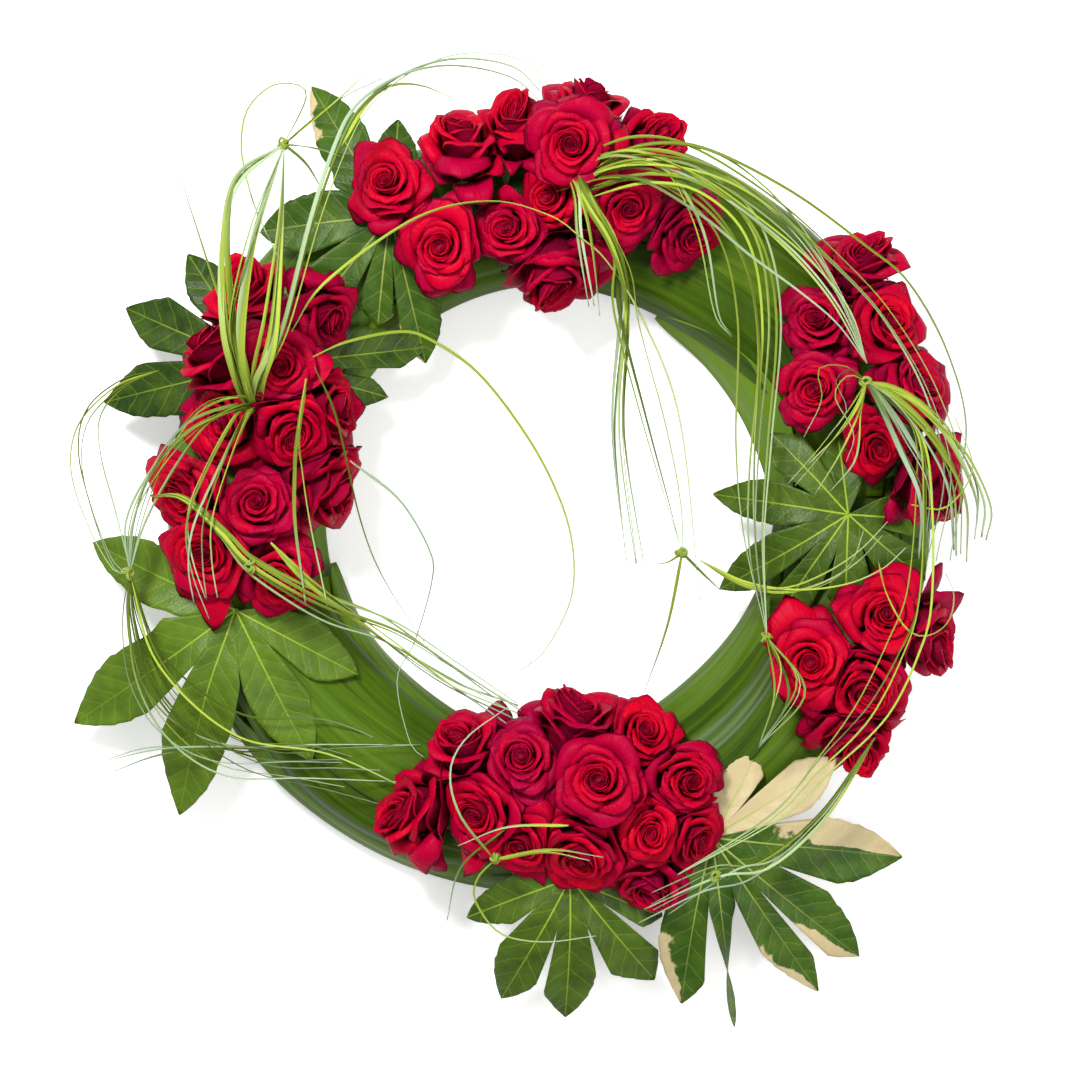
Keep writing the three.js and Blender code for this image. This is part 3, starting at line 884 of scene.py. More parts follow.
@dataclass(frozen=True)
class BloomPlace:
    """Where a rose stands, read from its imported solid: a straight stem with a cup round the same axis."""

    node: str
    tip: np.ndarray
    foot: np.ndarray
    axis: np.ndarray
    radius: float

    @property
    def middle(self) -> np.ndarray:
        """The middle of the bloom."""
        return self.foot + self.axis * self.radius * 0.8

    @classmethod
    def of_node(cls, name: str, node: Obj) -> BloomPlace:
        """Reads a rose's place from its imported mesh.

        Args:
            name: The node's name.
            node: The node's object.

        Returns:
            The stem's cut tip, the bloom's foot, the axis through both and the bloom's radius.
        """
        corners = np.unique(np.round(vertices_of(node), 6), axis=0)
        furthest = corners[np.argmax(np.linalg.norm(corners - corners.mean(0), axis=1))]
        at_tip = np.linalg.norm(corners - furthest, axis=1) < mm(STEM_SPAN)
        tip = corners[at_tip].mean(0)
        rest = corners[~at_tip]
        nearest = rest[np.argsort(np.linalg.norm(rest - tip, axis=1))[: at_tip.sum()]]
        axis = unit(nearest.mean(0) - tip)
        along = (corners - tip) @ axis
        off_axis = np.linalg.norm(corners - tip - along[:, None] * axis, axis=1)
        return cls(name, tip, nearest.mean(0), axis, float(off_axis.max()))


@dataclass
class RoseSprays:
    """All the wreath's roses, each at its packed place and pressed against its neighbours.

    Fuller holds how much wider some roses' petals spread than their packed cups, by spray and number.
    """

    nodes: dict[str, Obj]
    finishes: Finishes
    seeds_open: tuple[int, ...] = (3, 11, 24, 36)
    seeds_half: tuple[int, ...] = (7, 19, 28)
    open_scale: float = 1.0
    half_scale: float = 1.23
    half_stretch: float = 1.14
    half_sink: float = 0.3
    fuller: dict[str, dict[int, float]] = field(
        default_factory=lambda: {
            "top": {1: 0.94, 4: 1.1, 5: 1.04, 6: 0.95, 8: 0.9, 9: 1.1, 10: 1.06, 11: 1.12},
            "left": {2: 0.94, 3: 1.24, 4: 1.12, 5: 1.1, 7: 1.18, 8: 1.2, 9: 0.95, 10: 1.1},
            "right": {1: 1.12, 3: 0.8, 4: 1.12, 5: 0.86, 7: 1.1},
            "side": {1: 0.92, 3: 0.86, 4: 1.26, 5: 0.96}, "bottom": {5: 1.08, 7: 0.92, 10: 1.1, 13: 1.28},
        }
    )
    side_view_lean: float = 42.0
    give: float = 3.5
    near: float = 6.0
    stem_radius: float = 2.7

    def press(self, points: np.ndarray, place: BloomPlace, others: Sequence[BloomPlace]) -> np.ndarray:
        """Bends petals that would pass into a neighbour back to the plane between the two blooms.

        Args:
            points: The bloom's vertices, in place.
            place: Where the bloom stands.
            others: Every rose's place.

        Returns:
            The vertices, pressed.
        """
        for other in others:
            apart = other.middle - place.middle
            distance = float(np.linalg.norm(apart))
            if other is place or distance > place.radius + other.radius + mm(self.near):
                continue
            normal = apart / distance
            plane = distance * place.radius / (place.radius + other.radius)
            past = (points - place.middle) @ normal - plane + mm(self.give)
            pressed = mm(self.give) * (1 - np.exp(-np.maximum(past, 0) / mm(self.give)))
            points = points + np.where(past > 0, pressed - past, 0)[:, None] * normal
        return points

    def stand(
        self, master: Obj, scale: tuple[float, float], sink: float, place: BloomPlace,
        others: Sequence[BloomPlace],
    ) -> Obj:
        """Copies a head to a rose's place and gives it its stem.

        Args:
            master: The head to copy.
            scale: The head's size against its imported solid's, across and along its axis.
            sink: How far down its stem it sits, as a share of its radius.
            place: Where the rose stands.
            others: Every rose's place.

        Returns:
            The rose as one object.
        """
        draw = np.random.default_rng(sum(ord(letter) * (k + 3) for k, letter in enumerate(place.node)))
        head = bpy.data.objects.new(place.node + "_flower", master.data.copy())
        bpy.context.scene.collection.objects.link(head)
        spin = Matrix.Rotation(2 * math.pi * draw.random(), 3, "Z")
        lean = Vector((0, 0, 1)).rotation_difference(Vector(place.axis)).to_matrix()
        turn = np.array(lean @ spin)
        tones = head.data.attributes["tone"]
        values = np.empty(len(head.data.vertices), np.float32)
        tones.data.foreach_get("value", values)
        tones.data.foreach_set("value", values + np.float32(0.17 * draw.normal() - 0.25 * sink))
        across, along = scale
        stretch = np.array([across * (1 + 0.05 * draw.normal()), across * (1 + 0.05 * draw.normal()), along])
        foot = place.foot - place.axis * sink * place.radius
        shape = vertices_of(master) * stretch * place.radius
        around = np.arctan2(shape[:, 1], shape[:, 0])
        phases = 2 * math.pi * draw.random(3)
        wobble = 0.06 * np.sin(2 * around + phases[0]) + 0.045 * np.sin(3 * around + phases[1])
        shape[:, :2] *= (1 + wobble * np.hypot(shape[:, 0], shape[:, 1]) / place.radius)[:, None]
        shape[:, 2] += 0.09 * place.radius * np.sin(around + phases[2]) * (shape[:, 2] / place.radius) ** 2
        points = shape @ turn.T + foot
        set_vertices(head, self.press(points, place, others))
        stem = bar_between(place.tip, place.foot, mm(self.stem_radius))
        stem.data.materials.append(self.finishes.stem)
        return joined([head, stem], place.node + "_flower")

    def build(self) -> list[Obj]:
        """Builds every rose.

        Returns:
            One object for each rose node.
        """
        masters = {
            Opening.OPEN: [RoseHead(Opening.OPEN, seed, self.finishes).build() for seed in self.seeds_open],
            Opening.HALF: [RoseHead(Opening.HALF, seed, self.finishes).build() for seed in self.seeds_half],
        }
        places = [
            BloomPlace.of_node(name, node) for name, node in self.nodes.items() if name.startswith("rose_")
        ]
        places.sort(key=lambda place: place.node)
        roses = []
        for number, place in enumerate(places):
            lean = math.degrees(math.acos(max(-1.0, min(1.0, float(place.axis[2])))))
            opening = Opening.HALF if lean > self.side_view_lean else Opening.OPEN
            scale, sink = (self.open_scale, self.open_scale), 0.0
            if opening is Opening.HALF:
                scale, sink = (self.half_scale, self.half_scale * self.half_stretch), self.half_sink
            _, spray, count = place.node.split("_")
            gain = self.fuller[spray].get(int(count), 1.0)
            scale = (scale[0] * gain, scale[1] * gain)
            choice = masters[opening]
            rose = self.stand(choice[number % len(choice)], scale, sink, place, places)
            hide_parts(place.node)
            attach(rose, "root")
            roses.append(rose)
        for heads in masters.values():
            for head in heads:
                bpy.data.objects.remove(head)
        return roses


# ---- Palmate leaves ----


@dataclass(frozen=True)
class Lobe:
    """One lobe: compass direction, length, half width, its tip's height, and how much of it is cream.

    The cream lies along both edges, or along the one that cream_side names: -1 for left and 1 for right, as
    seen from the hub. The lobe turns about its midrib by twist degrees on its way to the tip.
    """

    towards: float
    length: float
    half_width: float
    tip_height: float
    cream: float = 0.0
    cream_side: int = 0
    twist: float = 0.0


@dataclass
class PalmateLeaf:
    """A leaf whose lobes spread from its hub, on a stalk that is pushed into the foam."""

    node: str
    hub: Point
    lobes: tuple[Lobe, ...]
    variegated: bool = False
    lightness: float = 0.4
    fused: float = 0.34
    thickness: float = 0.7
    fold: float = 0.2
    stalk_radius: float = 2.4
    stalk_foot: float = 38.0
    widest_sector: float = 62.0

    def edges(self, index: int) -> tuple[float, float]:
        """Finds how much room a lobe has between its neighbours.

        Args:
            index: The lobe's number.

        Returns:
            Half the angle to the next lobe on the right and on the left, in radians.
        """
        order = sorted(range(len(self.lobes)), key=lambda k: self.lobes[k].towards)
        at = order.index(index)
        own = self.lobes[index].towards
        left = (self.lobes[order[(at + 1) % len(order)]].towards - own) % 360
        right = (own - self.lobes[order[at - 1]].towards) % 360
        most = self.widest_sector
        return math.radians(min(right, most) / 2), math.radians(min(left, most) / 2)

    def blade(self, index: int, centre: np.ndarray) -> Obj:
        """Models one lobe, joined to its neighbours near the hub and free towards its tip.

        Args:
            index: The lobe's number.
            centre: The middle of the ring.

        Returns:
            The lobe as a sheet.
        """
        lobe = self.lobes[index]
        draw = np.random.default_rng(int(lobe.towards) + 7 * index + len(self.node))
        way = math.radians(lobe.towards)
        out = np.array([math.cos(way), math.sin(way), 0.0])
        right = np.array([out[1], -out[0], 0.0])
        half_right, half_left = self.edges(index)
        bend, warp, sway = draw.normal(0, 1, 3)
        hub = centre + np.array(self.hub)
        drop = lobe.tip_height - self.hub[2]

        def surface(u: np.ndarray, v: np.ndarray) -> np.ndarray:
            """The lobe's sheet.

            Args:
                u: From its left edge to its right, -1 to 1.
                v: From hub to tip, 0 to 1.

            Returns:
                A row for each point.
            """
            sector = np.where(u > 0, math.tan(half_right), math.tan(half_left)) * lobe.length
            oval = lobe.half_width * 1.05 * np.sin(math.pi * np.clip(v, 0, 1) ** 1.25) ** 0.85
            at_sinus = lobe.half_width * 1.05 * math.sin(math.pi * self.fused**1.25) ** 0.85
            past = np.maximum(v - self.fused, 0) / 0.07
            web = np.maximum(sector * self.fused - at_sinus, 0) * np.exp(-(past**2))
            ripple = 0.05 * np.sin(13 * v + 4 * u + bend)
            teeth = 1 - 0.07 * smooth_step(v, 0.5, 0.62) * ((v * 11) % 1.0) + ripple
            free = np.minimum(oval * teeth, sector * (v - 0.35 * (v - self.fused))) + web
            half = np.where(v < self.fused, sector * v, free)
            half = np.where(v >= 0.999, 0.0, half)
            along = lobe.length * v
            side = u * half + 0.045 * sway * lobe.length * np.maximum(v - 0.3, 0) ** 1.5
            beyond = np.clip((v - 0.25) / 0.75, 0, 1)
            height = self.hub[2] + drop * beyond**1.5 + self.fold * np.abs(u) ** 1.4 * half * (1 - 0.4 * v)
            curl = 2.0 * np.sin(10 * v + 2.2 * u + bend) + 0.1 * warp * u * half
            height = height + beyond * np.abs(u) * curl
            twist = np.radians(lobe.twist) * beyond
            height = height + u * half * np.sin(twist)
            side = side - u * half * (1 - np.cos(twist))
            place = hub + along[:, None] * out + side[:, None] * right
            margin = np.abs(u) * v**0.7
            if lobe.cream_side:
                margin = smooth_step(u * lobe.cream_side, -0.05, 0.2) * (0.5 + 0.5 * np.abs(u)) * v**1.1
            return np.column_stack([place[:, :2] / 1000, height / 1000, u * half / 100, along / 100, margin])

        tone = lobe.cream if self.variegated else self.lightness
        return shaped_grid("lobe", 12, 36, surface, tone)

    def build(self, centre: np.ndarray, finishes: Finishes) -> Obj:
        """Builds the leaf and its stalk.

        Args:
            centre: The middle of the ring, in millimetres.
            finishes: The wreath's finishes.

        Returns:
            The leaf as one object, standing for its node.
        """
        dress = (finishes.leaf, finishes.leaf_back)
        if self.variegated:
            dress = (finishes.variegated, finishes.variegated_back)
        parts = []
        for index in range(len(self.lobes)):
            lobe = self.blade(index, centre)
            give_thickness(lobe, mm(self.thickness), dress)
            parts.append(lobe)
        hub = centre + np.array(self.hub)
        foot = np.array([hub[0], hub[1], self.stalk_foot])
        stalk = bar_between(foot / 1000, hub / 1000, mm(self.stalk_radius))
        stalk.data.materials.append(finishes.stem)
        leaf = joined([*parts, stalk], self.node + "_blade")
        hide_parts(self.node)
        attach(leaf, "root")
        return leaf


PALMATE_LEAVES = (
    PalmateLeaf(
        "leaf_left", (-225, 112, 80),
        (
            Lobe(125, 107, 20, 55), Lobe(159, 120, 24, 42), Lobe(192, 131, 24, 42), Lobe(50, 88, 22, 72),
            Lobe(6, 128, 22, 50), Lobe(-13, 100, 18, 48),
        ),
        lightness=0.0,
    ),
    PalmateLeaf(
        "variegated_leaf_top", (-125, 228, 80),
        (
            Lobe(85, 78, 17, 62, 0.02), Lobe(121, 124, 20, 46, 0.35, -1), Lobe(184, 104, 24, 66),
            Lobe(230, 98, 30, 76, 0.26), Lobe(262, 84, 26, 62, 0.2), Lobe(284, 116, 24, 44, 0.3, 1),
        ),
        variegated=True,
    ),
    PalmateLeaf(
        "leaf_lower_left", (-246, -80, 80),
        (
            Lobe(157, 128, 23, 40), Lobe(216, 160, 27, 30), Lobe(250, 170, 26, 34), Lobe(296, 132, 23, 74),
            Lobe(332, 108, 22, 72),
        ),
        lightness=0.44, fused=0.3,
    ),
    PalmateLeaf(
        "leaf_bottom", (16, -290, 78),
        (
            Lobe(200, 88, 17, 60), Lobe(242, 114, 24, 30), Lobe(270, 115, 25, 28), Lobe(308, 108, 26, 30),
            Lobe(336, 80, 22, 52),
        ),
        lightness=0.2,
    ),
    PalmateLeaf(
        "variegated_leaf_bottom", (127, -258, 80),
        (
            Lobe(257, 137, 25, 32, 0.41, 1, 12), Lobe(277, 156, 9, 24, 0.1, 0, 150),
            Lobe(304, 153, 19, 26, 0.36, 1, 25), Lobe(320, 154, 26, 34, 0.4, 1),
            Lobe(354, 153, 26, 46, 0.56, -1), Lobe(31, 116, 22, 84, 0.85, 0, 35), Lobe(60, 74, 19, 72, 0.9),
        ),
        variegated=True,
    ),
    PalmateLeaf(
        "leaf_right", (233, -5, 85),
        (
            Lobe(97, 60, 17, 79), Lobe(132, 88, 20, 74), Lobe(171, 105, 17, 46), Lobe(212, 115, 19, 44),
            Lobe(235, 106, 20, 62), Lobe(268, 78, 22, 80), Lobe(318, 81, 22, 58), Lobe(356, 76, 19, 52),
        ),
        lightness=0.2, fused=0.29,
    ),
)


# ---- Strap leaves wrapped round the ring ----


@dataclass(frozen=True)
class StrapPath:
    """How one strap leaf lies: ring angles and section angles of foot and tip, half width, lift and tone.

    A ring angle runs anticlockwise from the right. A section angle runs over the body from 0 at the ring's
    outer edge to 180 at its inner edge. A leaf's tone runs from 0, dark, to 1, light.
    """

    ring: tuple[float, float]
    section: tuple[float, float]
    half_width: float
    lift: float
    tone: float
    edge_lift: float = 0.5
    arch: float = 4.5
    foot: float = 0.02


@dataclass
class StrapWrap:
    """Strap leaves laid lengthwise over the foam: three rows that cover it and loose leaves on top."""

    ring_radius: float = 242.0
    body_radius: float = 62.0
    body_height: float = 5.0
    thickness: float = 0.8
    leaves_per_row: int = 5
    sweep: float = 100.0
    seed: int = 5
    rows: tuple[tuple[float, float, float, float], ...] = (
        (32.0, 38.0, 0.6, 20.0), (146.0, 36.0, 0.8, 52.0), (90.0, 40.0, 3.4, 5.0)
    )
    loose: tuple[StrapPath, ...] = (
        StrapPath((94, 20), (144, 114), 31, 8.0, 0.15, 0.5, 3.0),
        # The first leaf on the next line, from ring angle 61 to -2 on the inner slope, has a tone of 1.2,
        # lighter than the lightest green: painted light, for light shining through a leaf that the slope
        # leaves in shade.
        StrapPath((61, -2), (158, 147), 27, 5.0, 1.2, 7.0, 2.0), StrapPath((78, 4), (96, 70), 28, 3.8, 0.45),
        StrapPath((64, -12), (48, 40), 30, 2.4, 0.3),
        StrapPath((-12, -80), (154, 138), 27, 3.6, 0.4, 1.5, 3.0),
        StrapPath((-22, -96), (116, 98), 28, 7.0, 0.1, 1.5, 3.0),
        StrapPath((-20, -100), (76, 62), 28, 4.2, 0.3, 1.5, 3.0),
        StrapPath((-34, -108), (42, 30), 27, 2.4, 0.15), StrapPath((194, 258), (160, 148), 24, 3.8, 0.45),
        StrapPath((190, 268), (128, 120), 25, 5.2, 0.15),
        StrapPath((196, 272), (94, 88), 27, 7.4, 0.3, 1.5, 3.0),
        StrapPath((204, 276), (60, 56), 24, 4.0, 0.1),
        StrapPath((211, 304), (27, 20), 34, 3.0, 0.4, 1.0, 2.0),
    )

    def leaf(self, path: StrapPath, centre: np.ndarray, draw: np.random.Generator) -> Obj:
        """Models one leaf.

        Args:
            path: How it lies.
            centre: The middle of the ring.
            draw: Random draws.

        Returns:
            The leaf as a sheet.
        """
        phase, wander = 2 * math.pi * draw.random(2)
        half_band = math.degrees(path.half_width / self.body_radius)
        way_round = math.copysign(1.0, path.ring[1] - path.ring[0])

        def surface(u: np.ndarray, v: np.ndarray) -> np.ndarray:
            """The leaf's sheet.

            Args:
                u: Across the body's section, -1 to 1.
                v: From foot to tip, 0 to 1.

            Returns:
                A row for each point.
            """
            share = np.sin(math.pi * np.clip(path.foot + (1 - path.foot) * v, 0, 1)) ** 0.6
            share = np.where(v >= 0.999, 0.01, share)
            middle = path.section[0] + (path.section[1] - path.section[0]) * v + 3 * np.sin(5 * v + phase)
            turn = np.radians(np.clip(middle - way_round * u * half_band * share, 1, 179))
            pleats = 0.35 * np.cos(u * math.pi * 3 + phase) * share
            keel = -1.1 * np.exp(-((u / 0.1) ** 2))
            wave = 0.8 * np.sin(7 * v + 3 * u + wander) + path.edge_lift * np.abs(u) ** 3 * share
            arch = path.arch * (1 - np.abs(u) ** 2.4) * share
            foot_over = 2.6 * (1 - smooth_step(v, 0.0, 0.3))
            radius = self.body_radius + path.lift + foot_over + pleats + keel + wave + arch
            reach = self.ring_radius + radius * np.cos(turn)
            angle = np.radians(path.ring[0] + (path.ring[1] - path.ring[0]) * v)
            x = centre[0] + reach * np.cos(angle)
            y = centre[1] + reach * np.sin(angle)
            return np.column_stack([x, y, self.body_height + radius * np.sin(turn)]) / 1000

        return shaped_grid("strap_leaf", 22, 40, surface, path.tone)

    def build(self, centre: np.ndarray, finishes: Finishes) -> Obj:
        """Builds every leaf.

        Args:
            centre: The middle of the ring, in millimetres.
            finishes: The wreath's finishes.

        Returns:
            The wrap as one object, standing for its node.
        """
        draw = np.random.default_rng(self.seed)
        paths = []
        for section, half_width, lift, first in self.rows:
            for k in range(self.leaves_per_row):
                start = first + 360 * k / self.leaves_per_row + 4 * draw.normal()
                tone = 0.2 + 0.5 * draw.random()
                arc = (start, start + self.sweep)
                paths.append(StrapPath(arc, (section, section), half_width, lift, tone, arch=1.0, foot=0.1))
        leaves = []
        for path in (*paths, *self.loose):
            leaf = self.leaf(path, centre, draw)
            give_thickness(leaf, mm(self.thickness), (finishes.strap,))
            leaves.append(leaf)
        wrap = joined(leaves, "strap_leaves")
        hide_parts("strap_leaf_wrap")
        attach(wrap, "root")
        return wrap


# ---- Bear grass ----


class StrandEnd(Enum):
    """What becomes of a strand's far end."""

    TIED = "tied"
    FREE = "free"


@dataclass(frozen=True)
class Strands:
    """Blades of grass that run together through points set out from the middle of the ring.

    Spread is how far they stray from the points, and fan is how far apart they start.
    """

    route: tuple[Point, ...]
    count: int = 1
    spread: float = 4.0
    width: float = 3.6
    end: StrandEnd = StrandEnd.FREE
    tone: float = 0.5
    fan: float = 0.0


@dataclass
class GrassBunch:
    """Bear grass strands and the knots that hold them."""

    name: str
    node: str
    strands: tuple[Strands, ...]
    knots: tuple[Point, ...]
    seed: int
    thickness: float = 0.5
    knot_turns: int = 4
    knot_radius: float = 3.4
    knot_blade: float = 1.2

    def blade(self, run: Strands, centre: np.ndarray, draw: np.random.Generator) -> Obj:
        """Models one blade: a long narrow gutter that thins to its tip and turns slowly as it goes.

        Args:
            run: The strands that it belongs to.
            centre: The middle of the ring.
            draw: Random draws.

        Returns:
            The blade as a sheet.
        """
        route = np.array(run.route, float)
        shares = np.linspace(0, 1, len(route))
        loose = np.sin(math.pi * shares) if run.end is StrandEnd.TIED else np.minimum(1, 1.6 * shares)
        if run.count > 1:
            start, end, belly = draw.normal(0, run.spread, (3, 3))
            share = shares[:, None]
            bow = start * (1 - share) + 1.5 * end * share + belly * np.sin(3 * share)
            route = route + bow * loose[:, None] * (1, 1, 0.6)
            route = route + draw.normal(0, run.fan, 3) * (1 - share) ** 1.5 * (1, 1, 0.5)
        steps = int(np.clip(np.linalg.norm(np.diff(route, axis=0), axis=1).sum() / 7, 14, 64))
        line = spline(route, steps + 1)
        along = unit(np.gradient(line, axis=0))
        side = unit(np.cross(along, (0, 0, 1.0)))
        up = np.cross(side, along)
        roll = np.radians(40 * draw.normal() + np.linspace(0, 110, steps + 1) * draw.normal())
        across = side * np.cos(roll)[:, None] + up * np.sin(roll)[:, None]
        over = np.cross(across, along)
        width = run.width * (0.5 + 0.5 * draw.random())

        def surface(u: np.ndarray, v: np.ndarray) -> np.ndarray:
            """The blade's sheet.

            Args:
                u: Across it, -1 to 1.
                v: From foot to tip, 0 to 1.

            Returns:
                A row for each point.
            """
            at = np.clip(np.round(v * steps).astype(int), 0, steps)
            half = width / 2 * (1 - 0.78 * v**2.2) * (0.3 + 0.7 * smooth_step(v, 0.0, 0.1))
            gutter = 0.4 * np.abs(u) * half
            points = line[at] + across[at] * (u * half)[:, None] + over[at] * gutter[:, None]
            return (points + centre) / 1000

        blade = shaped_grid("blade", 2, steps, surface, float(np.clip(run.tone + 0.36 * draw.normal(), 0, 1)))
        keep_value(
            blade, "bloom", np.full(len(blade.data.vertices), float(np.clip(draw.normal(0.0, 0.4), 0, 1)))
        )
        return blade

    def knot(self, at: Point, centre: np.ndarray, draw: np.random.Generator) -> list[Obj]:
        """Models a knot: a few turns of blade pulled tight round the bunch.

        Args:
            at: The knot's middle.
            centre: The middle of the ring.
            draw: Random draws.

        Returns:
            The knot's turns.
        """
        turns = []
        for _ in range(self.knot_turns):
            heading = Vector(draw.normal(0, 1, 3)).normalized()
            lean = Vector((0, 0, 1)).rotation_difference(heading)
            deselect_all()
            bpy.ops.mesh.primitive_torus_add(
                major_segments=18, minor_segments=6, major_radius=mm(self.knot_radius),
                minor_radius=mm(self.knot_blade),
            )
            ring = bpy.context.object
            shift = Vector((np.array(at) + centre + draw.normal(0, 1.2, 3)) / 1000)
            squash = Matrix.Diagonal((1.0, 0.8, 1.0, 1.0))
            ring.data.transform(Matrix.Translation(shift) @ lean.to_matrix().to_4x4() @ squash)
            keep_value(ring, "tone", np.full(len(ring.data.vertices), 0.5))
            bpy.ops.object.shade_smooth()
            turns.append(ring)
        return turns

    def build(self, centre: np.ndarray, finishes: Finishes) -> Obj:
        """Builds the bunch.

        Args:
            centre: The middle of the ring, in millimetres.
            finishes: The wreath's finishes.

        Returns:
            The bunch as one object, standing for its node.
        """
        draw = np.random.default_rng(self.seed)
        parts = []
        for run in self.strands:
            for _ in range(run.count):
                blade = self.blade(run, centre, draw)
                give_thickness(blade, mm(self.thickness), (finishes.grass,))
                parts.append(blade)
        for at in self.knots:
            for ring in self.knot(at, centre, draw):
                ring.data.materials.append(finishes.grass)
                parts.append(ring)
        bunch = joined(parts, self.name)
        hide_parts(self.node)
        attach(bunch, "root")
        return bunch


TIED = StrandEnd.TIED
LEFT_GRASS = GrassBunch(
    "grass_strands_left", "bear_grass_left",
    (
        Strands(((-231, 76, 108), (-238, 104, 148), (-246, 145, 172), (-248, 205, 178), (-238, 250, 170),
                (-203, 277, 154)), 5, 4, 6.4, TIED, 0.75, 2),
        Strands(((-230, 76, 108), (-231, 100, 146), (-232, 140, 174), (-222, 209, 178), (-203, 277, 154)),
                4, 5, 6.2, TIED, 0.6, 2),
        Strands(((-229, 76, 108), (-222, 100, 150), (-208, 136, 176), (-202, 209, 176), (-203, 277, 154)),
                4, 4, 6.2, TIED, 0.6, 2),
        Strands(((-229, 78, 110), (-220, 100, 152), (-201, 135, 176), (-179, 217, 172), (-160, 275, 160),
                (-144, 307, 150), (-117, 330, 142), (-86, 342, 138), (-55, 343, 134), (-23, 334, 130),
                (-4, 314, 128)), 3, 4, 4.3),
        Strands(((-160, 275, 158), (-140, 310, 146), (-121, 324, 140), (-98, 324, 136), (-74, 314, 132)),
                1, 0, 3.4),
        Strands(((-203, 277, 154), (-187, 318, 140), (-211, 326, 128), (-232, 310, 122), (-238, 287, 124),
                (-236, 264, 130), (-226, 229, 140), (-207, 190, 158)), 1, 0, 2.4),
        Strands(((-230, 84, 150), (-248, 147, 160), (-264, 192, 140), (-287, 260, 120)), 1, 0, 2.6),
        Strands(((-203, 277, 154), (-170, 305, 150), (-140, 334, 140)), 1, 0, 2.6),
        Strands(((-203, 277, 156), (-165, 310, 146), (-129, 330, 136)), 1, 0, 2.6),
        Strands(((-203, 277, 154), (-180, 274, 156), (-160, 268, 150)), 1, 0, 2.6),
        Strands(((-203, 277, 154), (-186, 262, 152), (-173, 240, 150)), 1, 0, 2.6),
        Strands(((-230, 78, 110), (-240, 76, 146), (-270, 62, 152), (-300, 30, 138), (-320, -9, 124),
                (-326, -50, 108)), 8, 7, 3.0, TIED, 0.5, 2),
        Strands(((-230, 78, 110), (-237, 70, 146), (-258, 26, 160), (-273, -12, 160), (-275, -45, 148),
                (-269, -76, 138)), 3, 4, 3.0, tone=0.3, fan=2),
        Strands(((-230, 78, 110), (-234, 68, 146), (-245, 33, 162), (-258, -12, 162), (-261, -45, 150),
                (-261, -73, 140)), 2, 2, 3.0, tone=0.3, fan=2),
        Strands(((-302, 106, 120), (-328, 96, 116), (-351, 73, 108), (-356, 41, 100), (-347, -2, 98),
                (-334, -41, 104), (-326, -50, 108)), 4, 6, 1.8, TIED),
        Strands(((-308, 9, 128), (-281, 6, 146), (-250, -21, 156), (-229, -45, 150), (-195, -68, 136),
                (-160, -87, 112), (-117, -103, 96), (-70, -132, 90), (-23, -161, 88)), 6, 5, 3.2),
        Strands(((-214, -27, 146), (-187, -56, 132), (-140, -95, 100), (-86, -134, 90), (-27, -159, 88)),
                3, 4, 3.8),
        Strands(((-326, -50, 108), (-324, -87, 100), (-312, -134, 90), (-281, -173, 88), (-234, -197, 86),
                (-172, -200, 84), (-98, -206, 72)), 9, 10, 2.0, tone=0.2),
        Strands(((-326, -50, 108), (-300, -120, 96), (-240, -172, 92), (-170, -180, 88), (-90, -215, 70)),
                3, 9, 1.9),
        Strands(((-203, -189, 86), (-250, -187, 86), (-304, -190, 74), (-345, -204, 60)), 3, 3, 2.2),
        Strands(((-180, 107, 154), (-164, 69, 144), (-147, -9, 112), (-129, -56, 98), (-94, -111, 90)),
                1, 0, 2.4, tone=0.2),
        Strands(((-181, 115, 154), (-156, 127, 140), (-117, 136, 118), (-94, 131, 108), (-55, 104, 98),
                (-16, 53, 90), (8, 6, 86), (18, -33, 84), (16, -72, 84), (-4, -111, 90), (-23, -126, 98)),
                1, 0, 2.8, tone=0.1),
        Strands(((-154, 36, 128), (-117, 6, 104), (-94, -33, 94), (-92, -56, 92), (-105, -103, 94),
                (-119, -134, 96), (-109, -181, 104), (-98, -193, 108)), 1, 0, 2.2, tone=0.1),
        Strands(((-186, 98, 158), (-192, 54, 160), (-191, 30, 152), (-188, -12, 146), (-180, -73, 130)),
                2, 3, 3.2),
        Strands(((-197, 134, 162), (-172, 172, 150), (-103, 220, 160), (-46, 234, 152), (0, 223, 150),
                (23, 207, 146), (44, 189, 132), (71, 147, 112), (101, 69, 98), (117, -72, 90)), 1, 0, 3.0),
    ),
    ((-203, 277, 154), (-326, -50, 108), (-229, -45, 151)), 41,
)
